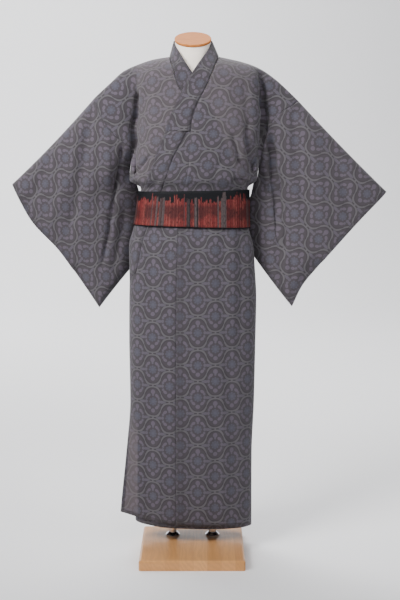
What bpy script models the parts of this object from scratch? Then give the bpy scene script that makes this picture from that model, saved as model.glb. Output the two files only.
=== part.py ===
"""A man's cotton yukata with its obi, on a limbless dress form with a wooden base.

Metres, +Z up, +X to the wearer's left, -Y to the front. The origin is the centre of the base's underside.
Cloth is a wall worked out from sections of the robe: a sheet of points, thickened along its normals.
"""
import math

import bpy
import bmesh
from mathutils import Vector
from mathutils.kdtree import KDTree

# Driving dimensions of the cloth
CLOTH = 0.0015
OBI_CLOTH = 0.0020
SEAM_GAP = 0.0003
COLLAR_SET_OFF = 0.0005
MID_Y = 0.060
SECTION_POWER = 2.3
RIDGE_ROUND = 0.070

# How far each layer lies outside the innermost one
LIFT_COLLAR_UNDER = 0.0010
LIFT_OVER = 0.0042
LIFT_COLLAR_OVER = 0.0052

# Angles round a section, from the front middle
CHEST_ANGLE = math.radians(68.0)
SIDE_ANGLE = math.radians(96.0)
SIDE_SEAM_ANGLE = SEAM_GAP * 4.8
UNDER_EDGE_ANGLE = math.radians(72.0)
OVER_LIFT_START = math.radians(75.0)
OVER_LIFT_END = math.radians(93.0)

# The back of the neck, and the crease drawn in beside each armhole
BACK_NECK_X = 0.055
BACK_NECK_STEP = 0.6
ARMHOLE_CREASE_WIDTH = 0.014
ARMHOLE_CREASE_FLOOR = 0.013
BACK_CREASE_SHARE = 0.6

# Steps between the waist and the shoulder: where the cloth leaves the body's side, and over how far
BLOUSE_STEP = 0.17
BLOUSE_BLEND = 0.25

# Levels
WAIST_Z = 1.070
HEM_MID_Z = 0.090
HEM_BLEND_Z = 0.340

# Sections of the robe: height, half width to the photo's left and right, depth to the front and back
SECTION = (
    # z, left, right, front, back
    (0.070, 0.1800, 0.1845, 0.084, 0.086),
    (0.310, 0.1830, 0.1840, 0.086, 0.089),
    (0.470, 0.1870, 0.1900, 0.089, 0.092),
    (0.660, 0.1915, 0.1935, 0.092, 0.096),
    (0.800, 0.1900, 0.1955, 0.095, 0.101),
    (0.880, 0.1880, 0.1910, 0.097, 0.104),
    (0.956, 0.1890, 0.1850, 0.098, 0.104),
    (1.020, 0.1720, 0.1700, 0.093, 0.095),
    (1.070, 0.1640, 0.1690, 0.091, 0.091),
    (1.134, 0.1560, 0.1680, 0.093, 0.092),
    (1.158, 0.1910, 0.1960, 0.110, 0.108),
    (1.205, 0.1880, 0.2030, 0.116, 0.114),
    (1.250, 0.1860, 0.2120, 0.118, 0.116),
    (1.300, 0.1850, 0.2200, 0.117, 0.116),
    (1.350, 0.1840, 0.2260, 0.113, 0.115),
    (1.450, 0.1840, 0.2240, 0.098, 0.104),
    (1.535, 0.1840, 0.2160, 0.082, 0.092),
)

# The shoulder line: distance from the middle, height on the photo's left and right
RIDGE = (
    # x, left, right
    (0.000, 1.5350, 1.5350),
    (0.070, 1.5250, 1.5270),
    (0.115, 1.5180, 1.5185),
    (0.165, 1.5020, 1.5060),
    (0.205, 1.4840, 1.4900),
    (0.250, 1.4450, 1.4600),
    (0.295, 1.4040, 1.4200),
    (0.320, 1.3800, 1.3960),
)

# The front half of a body length above the waist, row by row from the waist to the shoulder line.
# step: place between waist and shoulder; seam: edge sewn to the collar or overlap panel;
# fold: the armhole fold beside the chest; sleeve: edge sewn to the sleeve, with its two depths;
# crease: how deep the fold is drawn in. Depths are before and behind the middle plane.
BODY_RIGHT_ROWS = (
    # step, seam x, seam z, fold x, fold z, sleeve x, sleeve z, front depth, back depth, crease
    (0.00, 0.0380, 1.0700, -0.1500, 1.0700, -0.1690, 1.0700, -0.0100, 0.0100, 0.000),
    (0.10, 0.0300, 1.1250, -0.1450, 1.1250, -0.1620, 1.1250, -0.0100, 0.0100, 0.000),
    (0.17, 0.0230, 1.1580, -0.1700, 1.1580, -0.1920, 1.1580, -0.0100, 0.0100, 0.000),
    (0.30, 0.0150, 1.2066, -0.1740, 1.2060, -0.1870, 1.2050, 0.0020, 0.0240, 0.012),
    (0.42, 0.0125, 1.2500, -0.1725, 1.2500, -0.1845, 1.2486, 0.0260, 0.0330, 0.026),
    (0.52, 0.0090, 1.2950, -0.1710, 1.3000, -0.2047, 1.2693, 0.0390, 0.0390, 0.030),
    (0.62, 0.0060, 1.3280, -0.1690, 1.3450, -0.2316, 1.2901, 0.0410, 0.0400, 0.030),
    (0.75, -0.0128, 1.3850, -0.1670, 1.3900, -0.2600, 1.3250, 0.0370, 0.0360, 0.024),
    (0.88, -0.0420, 1.4400, -0.1655, 1.4500, -0.2840, 1.3720, 0.0280, 0.0270, 0.012),
    (1.00, -0.0690, 1.5255, -0.1660, 1.5017, -0.2953, 1.4040, 0.0220, 0.0220, 0.000),
)
BODY_LEFT_ROWS = (
    # step, seam x, seam z, fold x, fold z, sleeve x, sleeve z, front depth, back depth, crease
    (0.00, -0.0330, 1.0700, 0.1550, 1.0700, 0.1700, 1.0700, -0.0100, 0.0100, 0.000),
    (0.10, -0.0255, 1.1250, 0.1550, 1.1250, 0.1700, 1.1250, -0.0100, 0.0100, 0.000),
    (0.17, -0.0180, 1.1580, 0.1780, 1.1580, 0.1960, 1.1480, -0.0100, 0.0100, 0.000),
    (0.30, -0.0096, 1.2066, 0.1880, 1.2050, 0.2030, 1.1900, 0.0020, 0.0240, 0.012),
    (0.42, -0.0075, 1.2500, 0.1980, 1.2500, 0.2130, 1.2520, 0.0240, 0.0330, 0.016),
    (0.52, -0.0040, 1.2950, 0.2120, 1.2980, 0.2290, 1.3050, 0.0330, 0.0380, 0.019),
    (0.62, -0.0010, 1.3280, 0.2170, 1.3430, 0.2475, 1.3420, 0.0350, 0.0390, 0.020),
    (0.75, 0.0178, 1.3850, 0.2160, 1.3920, 0.2740, 1.3650, 0.0330, 0.0350, 0.020),
    (0.88, 0.0450, 1.4360, 0.2115, 1.4420, 0.3000, 1.3800, 0.0280, 0.0270, 0.014),
    (1.00, 0.0810, 1.5250, 0.2077, 1.4885, 0.3204, 1.3957, 0.0220, 0.0220, 0.000),
)

# The overlap panels' seams to the fronts, below the waist
PANEL_SEAM = (
    # z, over x, under x
    (0.070, -0.0512, 0.0560),
    (0.696, -0.0489, 0.0540),
    (1.014, -0.0420, 0.0470),
    (1.070, -0.0330, 0.0380),
)

# Rows of the grids
BODY_STEPS = (0.0, 0.12, 0.17, 0.235, 0.32, 0.42, 0.52, 0.62, 0.75, 0.87, 0.94, 0.98, 1.0)
SKIRT_LEVELS = (0.090, 0.210, 0.350, 0.520, 0.700, 0.840, 0.930, 0.985, 1.020)
CHEST_COLUMNS = 7
WING_COLUMNS = 4
NECK_COLUMNS = 4
PANEL_COLUMNS = 8
PANEL_STEPS = (0.0, 0.12, 0.17, 0.235, 0.32, 0.42, 0.52)
PANEL_TIP_Z = 1.3110
PANEL_TIP_OVER_X = -0.0026
PANEL_TIP_UNDER_X = 0.0077

# The hem: distance across from the middle, height of the lower layer and of the layer on top
HEM = (
    # x, under, over
    (-0.230, 0.0900, 0.1280),
    (-0.180, 0.0900, 0.1160),
    (-0.100, 0.0860, 0.1010),
    (0.000, 0.0830, 0.0930),
    (0.100, 0.0800, 0.0880),
    (0.190, 0.0760, 0.0770),
)
HEM_BACK_Z = 0.0770

# How far the top layer's free edge swings out at the photo's left, and forward
FREE_EDGE = (
    # z, out, forward
    (0.090, 0.0400, 0.045),
    (0.310, 0.0190, 0.026),
    (0.470, 0.0025, 0.008),
    (0.600, 0.0000, 0.000),
)

# Outer edge of the overlap panel above the skirt, where the collar is sewn on
PANEL_EDGE = (
    # z, distance from the middle
    (0.878, 0.1697),
    (0.921, 0.1591),
    (0.949, 0.1544),
    (0.998, 0.1418),
    (1.070, 0.1130),
    (1.143, 0.0838),
    (1.215, 0.0587),
    (1.253, 0.0392),
    (1.277, 0.0262),
    (1.320, 0.0030),
)
# The collar's end is cut on the slant: its levels from the free edge in to the sewn one
COLLAR_END_LEVELS = (0.8400, 0.8495, 0.8590, 0.8685, 0.8780)

# The collar's half that lies on top, by the height of its sewn edge
COLLAR_OVER_ROWS = (
    # sewn z, free x, free z, free y where it leaves the chest, share on the chest
    (0.930, -0.2050, 0.930, 0.000, 1.0),
    (1.020, -0.2050, 1.020, 0.000, 1.0),
    (1.070, -0.1660, 1.070, 0.000, 1.0),
    (1.134, -0.1460, 1.134, 0.000, 1.0),
    (1.158, -0.1370, 1.158, 0.000, 1.0),
    (1.193, -0.1190, 1.193, 0.000, 1.0),
    (1.244, -0.1040, 1.244, 0.000, 1.0),
    (1.296, -0.0797, 1.296, 0.000, 1.0),
    (1.328, -0.0702, 1.330, 0.000, 1.0),
    (1.385, -0.0420, 1.395, 0.000, 1.0),
    (1.430, -0.0110, 1.452, -0.049, 0.6),
    (1.474, 0.0170, 1.498, -0.023, 0.0),
    (1.502, 0.0400, 1.532, 0.009, 0.0),
    (1.516, 0.0530, 1.553, 0.034, 0.0),
    (1.525, 0.0600, 1.572, 0.060, 0.0),
)
COLLAR_UNDER_ROWS = (
    (0.930, 0.2050, 0.930, 0.000, 1.0),
    (1.020, 0.2050, 1.020, 0.000, 1.0),
    (1.070, 0.1660, 1.070, 0.000, 1.0),
    (1.134, 0.1500, 1.134, 0.000, 1.0),
    (1.158, 0.1420, 1.158, 0.000, 1.0),
    (1.193, 0.1240, 1.193, 0.000, 1.0),
    (1.244, 0.1090, 1.244, 0.000, 1.0),
    (1.296, 0.0847, 1.296, 0.000, 1.0),
    (1.328, 0.0752, 1.330, 0.000, 1.0),
    (1.385, 0.0470, 1.395, 0.000, 1.0),
    (1.430, 0.0150, 1.450, -0.036, 0.6),
    (1.468, -0.0120, 1.493, -0.021, 0.0),
    (1.498, -0.0340, 1.530, 0.009, 0.0),
    (1.516, -0.0480, 1.553, 0.034, 0.0),
    (1.525, -0.0550, 1.572, 0.060, 0.0),
)
COLLAR_COLUMNS = 4
NECK_TOP_RADIUS = 0.0575
NAPE_TOP_BACK = 0.0585
NAPE_TOP_Z = 1.584
NAPE_DROP = 0.020
NAPE_SET_IN = 0.0020
NAPE_SET_UP = 0.0022

# Where the collar leaves the chest for the neck, over how far, and how it is set off there
COLLAR_LEAVES_Z = 1.430
COLLAR_LEAVES_LENGTH = 0.050
COLLAR_SET_IN = 0.0016
COLLAR_SET_UP = 0.0020

# Sleeves: corners across and up, in the photo's plane
SLEEVE_RIGHT = {
    "side": -1,
    "cuff_top": (-0.549, 1.145),
    "tip": (-0.289, 0.770),
    "inner_corner": (-0.160, 0.925),
    "cuff_points": ((0.25, -0.491, 1.036), (0.50, -0.409, 0.946),
                    (0.70, -0.362, 0.880), (0.86, -0.318, 0.815)),
    "top_sag": 0.007,
    "bottom_sag": -0.004,
    "hang_points": ((0.20, -0.1850, 0.0780, 1.125), (0.42, -0.1830, 0.0880, 1.080),
                    (0.62, -0.1830, 0.1020, 1.030), (0.82, -0.1780, 0.1200, 0.975)),
    "corner_y": 0.136,
    "stop": 0.70,
}
SLEEVE_LEFT = {
    "side": 1,
    "cuff_top": (0.593, 1.122),
    "tip": (0.309, 0.773),
    "inner_corner": (0.160, 0.970),
    "cuff_points": ((0.25, 0.509, 1.034), (0.50, 0.428, 0.943), (0.66, 0.385, 0.893), (0.84, 0.338, 0.834)),
    "top_sag": 0.004,
    "bottom_sag": 0.004,
    "hang_points": ((0.20, 0.1890, 0.0800, 1.110), (0.42, 0.1830, 0.0900, 1.082),
                    (0.62, 0.1820, 0.1030, 1.045), (0.82, 0.1770, 0.1180, 1.005)),
    "corner_y": 0.133,
    "stop": 0.63,
}
SLEEVE_ALONG = (0.0, 0.06, 0.12, 0.20, 0.31, 0.45, 0.62, 0.80, 0.92, 1.0)
SLEEVE_HANG_ROWS = 5
SLEEVE_PINCH = 0.0022
SEAM_SHARE_REACH = 0.0013
SLEEVE_PINCH_SET_OFF = 0.0026
SLEEVE_PINCH_STEPS = 0.35
SLEEVE_TOP_Y = 0.058
CUFF_Y = 0.050
CUFF_DEPTH = 0.019
CUFF_LOW_DEPTH = 0.010
MIDDLE_DEPTH = 0.014
SLEEVE_ROUND = 0.10
SLEEVE_BOTTOM_ROUND = 0.07
SLEEVE_TIP_DROP = 0.003
CUFF_SEWN_LENGTH = 0.14
CUFF_STOP_LENGTH = 0.05
SLEEVE_FOLD_START = 0.08
SLEEVE_FOLD_LIMIT = 0.55

# The deep fold in the photo's right sleeve, from shoulder to bottom
SLEEVE_FOLD = (
    # z, x, depth, half width
    (0.800, 0.292, 0.004, 0.012),
    (0.900, 0.270, 0.010, 0.012),
    (1.037, 0.2523, 0.018, 0.011),
    (1.150, 0.2400, 0.024, 0.010),
    (1.249, 0.2289, 0.028, 0.010),
    (1.310, 0.2230, 0.012, 0.010),
    (1.345, 0.2180, 0.000, 0.010),
)

# The obi
OBI_TOP = 1.1265
OBI_BOTTOM = 1.017
OBI_STEPS = 56
OBI_LIFTS = (
    # angle in degrees from the front middle, distance of the obi outside the innermost layer
    (-180.0, 0.0028),
    (-125.0, 0.0030),
    (-98.0, 0.0084),
    (-8.0, 0.0084),
    (10.0, 0.0076),
    (78.0, 0.0074),
    (104.0, 0.0036),
    (180.0, 0.0028),
)

# Dress form: ring height, half width, depth to front and back, tilt of the ring in degrees
FORM_RINGS = (
    (0.800, 0.1560, 0.078, 0.082, 0.0),
    (0.806, 0.1640, 0.084, 0.088, 0.0),
    (0.860, 0.1680, 0.086, 0.092, 0.0),
    (0.940, 0.1660, 0.086, 0.090, 0.0),
    (1.020, 0.1580, 0.084, 0.086, 0.0),
    (1.070, 0.0, 0.0, 0.0, 0.0),
    (1.120, 0.1500, 0.085, 0.085, 0.0),
    (1.200, 0.1540, 0.096, 0.094, 0.0),
    (1.300, 0.1570, 0.102, 0.100, 0.0),
    (1.380, 0.1580, 0.096, 0.098, 0.0),
    (1.430, 0.1580, 0.086, 0.090, 0.0),
    (1.460, 0.1540, 0.074, 0.078, 0.0),
    (1.478, 0.1360, 0.066, 0.068, 0.0),
    (1.492, 0.1020, 0.059, 0.060, 0.0),
    (1.501, 0.0780, 0.056, 0.054, 0.0),
    (1.511, 0.0630, 0.054, 0.052, 0.0),
    (1.528, 0.0560, 0.053, 0.052, 6.0),
    (1.552, 0.0545, 0.0525, 0.0525, 18.0),
    (1.5735, 0.0545, 0.0540, 0.0540, 27.0),
)
FORM_MID_X = 0.0025
FORM_NECK_Z = 1.470
FORM_NECK_BLEND = 0.040
FORM_SEAT_ANGLE = math.radians(1.5)
FORM_SIDE_ANGLES = (math.radians(80.0), math.radians(88.0))
WAIST_SEAT = 0.0005

# Wooden cap
CAP_RADIUS = 0.0555
CAP_THICKNESS = 0.008
CAP_ROUND = 0.0020

# Base board, posts and flanges
BASE_WIDTH = 0.320
BASE_HEIGHT = 0.031
BASE_ROUND = 0.007
POST_RADIUS = 0.0125
POST_X = 0.063
POST_Y = 0.075
FLANGE_RADIUS = 0.0225
FLANGE_HEIGHT = 0.011
FLANGE_SLOPE = (
    # in from the rim, height
    (0.0, 0.0030),
    (0.0020, 0.0055),
    (0.0055, 0.0080),
)
FLANGE_LIP = 0.0015
TOUCH_GAP = 0.0003


def clear_scene():
    for item in list(bpy.data.objects):
        bpy.data.objects.remove(item, do_unlink=True)


def make_collection(name):
    collection = bpy.data.collections.new(name)
    bpy.context.scene.collection.children.link(collection)
    return collection


def make_material(name, colour, roughness, metallic=0.0):
    material = bpy.data.materials.new(name)
    material.use_nodes = True
    shader = material.node_tree.nodes["Principled BSDF"]
    shader.inputs["Base Color"].default_value = (*colour, 1.0)
    shader.inputs["Roughness"].default_value = roughness
    shader.inputs["Metallic"].default_value = metallic
    return material


def mix(first, second, share):
    return first + (second - first) * share


def ease(value):
    value = min(max(value, 0.0), 1.0)
    return value * value * (3.0 - 2.0 * value)


def signed_power(value):
    return math.copysign(abs(value) ** (2.0 / SECTION_POWER), value)


def read(table, place, column):
    """Smooth reading of one column of a table, by the table's first column, without overshoot."""
    if place <= table[0][0]:
        return table[0][column]
    if place >= table[-1][0]:
        return table[-1][column]
    index = 0
    while table[index + 1][0] < place:
        index += 1

    def slope(k):
        return (table[k + 1][column] - table[k][column]) / (table[k + 1][0] - table[k][0])

    def tangent(k):
        if k == 0:
            return slope(0)
        if k == len(table) - 1:
            return slope(k - 1)
        before = slope(k - 1)
        after = slope(k)
        if before * after <= 0.0:
            return 0.0
        return 2.0 * before * after / (before + after)

    width = table[index + 1][0] - table[index][0]
    share = (place - table[index][0]) / width
    start = table[index][column]
    end = table[index + 1][column]
    cubic = share * share * (3.0 - 2.0 * share)
    leave = share * (1.0 - share) ** 2 * width * tangent(index)
    arrive = share * share * (share - 1.0) * width * tangent(index + 1)
    return mix(start, end, cubic) + leave + arrive


def half_width(z, side, lift=0.0):
    return read(SECTION, z, 1 if side < 0 else 2) + lift


def ridge_z(x):
    return read(RIDGE, abs(x), 1 if x < 0 else 2)


def shoulder_round(drop):
    """Share of the full depth at this drop below the shoulder line."""
    share = 1.0 - min(max(drop, 0.0) / RIDGE_ROUND, 1.0)
    return math.sqrt(max(0.0, 1.0 - share * share))


def angle_of(x, z, side, lift=0.0):
    """Signed angle round the section at which the front reaches x."""
    share = min(abs(x) / half_width(z, side, lift), 1.0)
    return math.copysign(math.asin(share ** (SECTION_POWER / 2.0)), x)


def section_point(z, angle, lift=0.0):
    """A point of the robe's section; angle 0 is the front middle, positive towards the wearer's left."""
    side = -1 if angle < 0 else 1
    x = half_width(z, side, lift) * signed_power(math.sin(angle))
    cosine = signed_power(math.cos(angle))
    depth = read(SECTION, z, 3 if cosine > 0 else 4) + lift
    return Vector((x, MID_Y - depth * cosine, z))


def chest_sheet(rows, step, across, lift, back):
    """A point of a body length above the waist.

    across runs 0 to 1 from the front seam to the armhole fold and 1 to 2 on to the sleeve. At the back it
    starts at -1, the middle of the back.
    """
    side = 1 if rows[-1][5] > 0 else -1
    fold_x = read(rows, step, 3)
    fold_z = read(rows, step, 4)
    fold_drop = ridge_z(fold_x) - fold_z
    sleeve_x = read(rows, step, 5)
    sleeve_z = read(rows, step, 6)
    crease = read(rows, step, 9) * (BACK_CREASE_SHARE if back else 1.0)
    depth_column = 4 if back else 3
    way = 1.0 if back else -1.0
    level = min(fold_z, ridge_z(fold_x))
    if back:
        to_shoulder = ease((step - BACK_NECK_STEP) / (1.0 - BACK_NECK_STEP))
        seam_x = side * mix(BACK_NECK_X, abs(rows[-1][1]), to_shoulder)
        seam_drop = fold_drop + (ridge_z(seam_x) - ridge_z(fold_x)) * (1.0 - step) * 0.3
    else:
        seam_x = read(rows, step, 1)
        seam_drop = ridge_z(seam_x) - read(rows, step, 2)
    seam_angle = angle_of(seam_x, level, 1 if seam_x > 0 else -1, lift)
    fold_angle = angle_of(fold_x, level, side, lift)
    straight = step * step

    def chest_point(share):
        angle = mix(seam_angle, fold_angle, share)
        here = 1 if angle > 0 else -1
        x = half_width(level, here, lift) * signed_power(math.sin(angle))
        drop = mix(seam_drop, fold_drop, share)
        level_z = mix(ridge_z(seam_x) - seam_drop, fold_z, share)
        if back:
            level_z = fold_z
        z = mix(level_z, ridge_z(x) - drop, straight)
        true_drop = max(ridge_z(x) - z, 0.0)
        depth = (read(SECTION, z, depth_column) + lift) * signed_power(math.cos(angle))
        depth *= shoulder_round(true_drop)
        drawn = crease * math.exp(-((x - fold_x) / ARMHOLE_CREASE_WIDTH) ** 2)
        floor = min(depth, ARMHOLE_CREASE_FLOOR * shoulder_round(true_drop))
        depth = max(depth - drawn, floor)
        return Vector((x, MID_Y + way * depth, z))

    if across < 0.0:
        share = 1.0 + across
        x = mix(side * SEAM_GAP * 0.5, seam_x, share)
        angle = angle_of(x, level, side, lift)
        drop = seam_drop + NAPE_DROP * (1.0 - share * share) * step ** 8
        z = mix(fold_z, ridge_z(x) - drop, straight)
        true_drop = max(ridge_z(x) - z, 0.0)
        depth = (read(SECTION, z, depth_column) + lift) * signed_power(math.cos(angle))
        depth *= shoulder_round(true_drop)
        return Vector((x, MID_Y + depth, z))
    if across <= 1.0:
        return chest_point(across)

    share = across - 1.0
    fold_point = chest_point(1.0)
    end_angle = math.pi - SIDE_ANGLE if back else SIDE_ANGLE
    round_angle = mix(abs(fold_angle), end_angle, share)
    low_z = mix(fold_z, sleeve_z, share)
    low_depth = (read(SECTION, low_z, depth_column if math.cos(round_angle) > 0 else 4) + lift)
    low_x = side * half_width(low_z, side, lift) * signed_power(math.sin(round_angle))
    low_y = MID_Y + way * low_depth * signed_power(math.cos(round_angle))
    low_y += way * SEAM_GAP * 0.5 * ease(share * 4.0 - 3.0)
    low = Vector((low_x, low_y, low_z))
    x = mix(fold_point.x, sleeve_x, share)
    drop = mix(ridge_z(fold_point.x) - fold_point.z, ridge_z(sleeve_x) - sleeve_z, share)
    edge_depth = read(rows, step, 8 if back else 7) * shoulder_round(ridge_z(sleeve_x) - sleeve_z)
    y = mix(fold_point.y, MID_Y + way * edge_depth, ease(share * 1.25))
    high = Vector((x, y, ridge_z(x) - drop))
    return low.lerp(high, ease((step - BLOUSE_STEP) / BLOUSE_BLEND))


def hem_level(z, target):
    """Move a level towards the hem's own height, fully at the hem and not above the blend."""
    share = ease((HEM_BLEND_Z - z) / (HEM_BLEND_Z - HEM_MID_Z))
    return z + (target - HEM_MID_Z) * share


def over_lift(angle):
    """The top front's lift, falling to the inner layer's level at the side seam."""
    return LIFT_OVER * (1.0 - ease((angle - OVER_LIFT_START) / (OVER_LIFT_END - OVER_LIFT_START)))


def body_sheet(rows, over):
    """One body length, front then back: its points, its faces and the edge sewn to the collar."""
    side = 1 if rows[-1][5] > 0 else -1
    seam_column = 1 if over else 2
    across_front = [i / CHEST_COLUMNS for i in range(CHEST_COLUMNS + 1)]
    across_front += [1.0 + i / WING_COLUMNS for i in range(1, WING_COLUMNS + 1)]
    across_back = [-1.0 + i / NECK_COLUMNS for i in range(NECK_COLUMNS)] + across_front
    end_angle = SIDE_ANGLE - SIDE_SEAM_ANGLE
    points = []
    lines = []
    collar_edge = []

    def add_line(line):
        lines.append(range(len(points), len(points) + len(line)))
        points.extend(line)

    for level in SKIRT_LEVELS:
        line = []
        seam_x = read(PANEL_SEAM, level, seam_column) + side * SEAM_GAP * 0.5
        start = angle_of(seam_x, level, 1 if seam_x > 0 else -1, LIFT_OVER if over else 0.0)
        for across in across_front:
            if across <= 1.0:
                angle = mix(start, side * CHEST_ANGLE, across)
            else:
                angle = side * mix(CHEST_ANGLE, end_angle, across - 1.0)
            lift = over_lift(abs(angle) if angle * side > 0 else 0.0) if over else 0.0
            place = section_point(level, angle, lift)
            z = hem_level(level, read(HEM, place.x, 2 if over else 1))
            line.append(section_point(z, angle, lift))
        add_line(line)
    for step in BODY_STEPS:
        line = []
        for across in across_front:
            lift = 0.0
            if over:
                lift = LIFT_OVER * (1.0 - ease((across - 1.0) / 0.9))
                lift *= 1.0 - ease((step - 0.90) / 0.08)
            line.append(chest_sheet(rows, step, across, lift, False))
            if step == 1.0:
                line[-1].y = MID_Y
        line[0].x += side * SEAM_GAP * 0.5
        if step > PANEL_STEPS[-1]:
            collar_edge.append(line[0])
        add_line(line)
    front_lines = len(lines)
    faces = []
    for row in range(front_lines - 1):
        for column in range(len(across_front) - 1):
            faces.append((lines[row][column], lines[row][column + 1],
                          lines[row + 1][column + 1], lines[row + 1][column]))

    ridge = lines[-1]
    top = [chest_sheet(rows, 1.0, across, 0.0, True) for across in across_back[:NECK_COLUMNS]]
    collar_edge += reversed(top)
    first = len(points)
    points.extend(top)
    previous = list(range(first, first + NECK_COLUMNS)) + list(ridge)
    for step in reversed(BODY_STEPS[:-1]):
        line = [chest_sheet(rows, step, across, 0.0, True) for across in across_back]
        current = list(range(len(points), len(points) + len(line)))
        points.extend(line)
        for column in range(len(line) - 1):
            faces.append((previous[column], previous[column + 1], current[column + 1], current[column]))
        previous = current
    for level in reversed(SKIRT_LEVELS):
        line = []
        z = hem_level(level, HEM_BACK_Z)
        neck_angle = angle_of(BACK_NECK_X, z, side)
        for across in across_back:
            if across < 0.0:
                angle = mix(angle_of(SEAM_GAP * 0.5, z, side), neck_angle, 1.0 + across)
            elif across <= 1.0:
                angle = mix(neck_angle, CHEST_ANGLE, across)
            else:
                angle = mix(CHEST_ANGLE, math.pi - SIDE_ANGLE - SIDE_SEAM_ANGLE, across - 1.0)
            line.append(section_point(z, side * (math.pi - angle)))
        current = list(range(len(points), len(points) + len(line)))
        points.extend(line)
        for column in range(len(line) - 1):
            faces.append((previous[column], previous[column + 1], current[column + 1], current[column]))
        previous = current
    if side < 0:
        faces = [tuple(reversed(face)) for face in faces]
    return points, faces, collar_edge


def sheet_normals(points, faces):
    """Area-weighted normals of a sheet's points."""
    normals = [Vector((0.0, 0.0, 0.0)) for _ in points]
    for face in faces:
        first = points[face[2]] - points[face[0]]
        second = points[face[3]] - points[face[1]]
        normal = first.cross(second)
        for corner in face:
            normals[corner] += normal
    return [normal.normalized() for normal in normals]


def share_normals(sheets):
    """Normals of every sheet, made equal where edges meet at a seam, so that the walls stay parallel."""
    normals = {name: sheet_normals(points, faces) for name, (points, faces) in sheets.items()}
    places = [(name, index) for name, (points, _) in sheets.items() for index in range(len(points))]
    tree = KDTree(len(places))
    for number, (name, index) in enumerate(places):
        tree.insert(sheets[name][0][index], number)
    tree.balance()
    shared = {}
    for number, (name, index) in enumerate(places):
        total = Vector((0.0, 0.0, 0.0))
        for _, other, _ in tree.find_range(sheets[name][0][index], SEAM_SHARE_REACH):
            other_name, other_index = places[other]
            total += normals[other_name][other_index]
        shared[number] = total.normalized()
    for number, (name, index) in enumerate(places):
        normals[name][index] = shared[number]
    return normals


def wall_from_sheet(name, points, faces, normals, thickness, material, collection):
    """A closed wall: the sheet moved out and in by half its thickness, joined round its rims."""
    count = len(points)
    half = thickness * 0.5
    outer = [point + normal * half for point, normal in zip(points, normals)]
    inner = [point - normal * half for point, normal in zip(points, normals)]
    solid_faces = []
    for first, second, third, fourth in faces:
        solid_faces.append((first, second, third))
        solid_faces.append((first, third, fourth))
        solid_faces.append((third + count, second + count, first + count))
        solid_faces.append((fourth + count, third + count, first + count))
    edges = {}
    for face in faces:
        for start, end in zip(face, face[1:] + face[:1]):
            edges[(start, end)] = edges.get((start, end), 0) + 1
    for start, end in edges:
        if (end, start) not in edges:
            solid_faces.append((end, start, start + count, end + count))
    mesh = bpy.data.meshes.new(name)
    mesh.from_pydata([tuple(p) for p in outer + inner], [], solid_faces)
    mesh.validate()
    mesh.update()
    mesh.polygons.foreach_set("use_smooth", [True] * len(mesh.polygons))
    mesh.materials.append(material)
    item = bpy.data.objects.new(name, mesh)
    collection.objects.link(item)
    return item


def panel_sheet(over):
    """One overlap panel from the hem up to its tip: points, faces and the edge sewn to the collar."""
    side = -1 if over else 1
    seam_column = 1 if over else 2
    hem_column = 2 if over else 1
    lift = LIFT_OVER if over else 0.0
    rows = BODY_LEFT_ROWS if over else BODY_RIGHT_ROWS
    free_angle = math.radians(90.0) if over else UNDER_EDGE_ANGLE
    end_bottom = COLLAR_END_LEVELS[0]
    end_top = COLLAR_END_LEVELS[-1]

    def sewn_angle(level):
        edge_x = read(PANEL_EDGE, level, 1) + (0.0 if over else 2.0 * FORM_MID_X)
        return min(abs(angle_of(side * edge_x, level, side, lift)), free_angle)

    def row_points(level, seam_x):
        start = angle_of(seam_x, level, 1 if seam_x > 0 else -1, lift)
        to_sewn = min(max((level - end_bottom) / (end_top - end_bottom), 0.0), 1.0)
        end = side * mix(free_angle, sewn_angle(max(level, end_top)), to_sewn)
        line = []
        for column in range(PANEL_COLUMNS + 1):
            share = column / PANEL_COLUMNS
            angle = mix(start, end, share)
            place = section_point(level, angle, lift)
            z = hem_level(level, read(HEM, place.x, hem_column))
            place = section_point(z, angle, lift)
            if over:
                swing = share ** 3
                plain_x = place.x
                place.x -= read(FREE_EDGE, level, 1) * swing
                place.y -= read(FREE_EDGE, level, 2) * swing
                place.z += hem_level(level, read(HEM, place.x, hem_column))
                place.z -= hem_level(level, read(HEM, plain_x, hem_column))
            line.append(place)
        return line

    lines = []
    for level in sorted(set(SKIRT_LEVELS + COLLAR_END_LEVELS)):
        seam_x = read(PANEL_SEAM, level, seam_column) + side * SEAM_GAP * 0.5
        lines.append(row_points(level, seam_x))
    for step in PANEL_STEPS:
        seam_x = read(rows, step, 1) + side * SEAM_GAP * 0.5
        lines.append(row_points(read(rows, step, 2), seam_x))
    tip_seam = side * SEAM_GAP * 0.5 + (PANEL_TIP_OVER_X if over else PANEL_TIP_UNDER_X)
    lines.append(row_points(PANEL_TIP_Z, tip_seam))
    collar_edge = [line[-1] for line in lines if line[-1].z >= end_bottom - SEAM_GAP]
    points = [point for line in lines for point in line]
    faces = []
    width = PANEL_COLUMNS + 1
    for row in range(len(lines) - 1):
        for column in range(PANEL_COLUMNS):
            first = row * width + column
            face = (first, first + 1, first + width + 1, first + width)
            faces.append(face if side > 0 else tuple(reversed(face)))
    return points, faces, collar_edge


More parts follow.
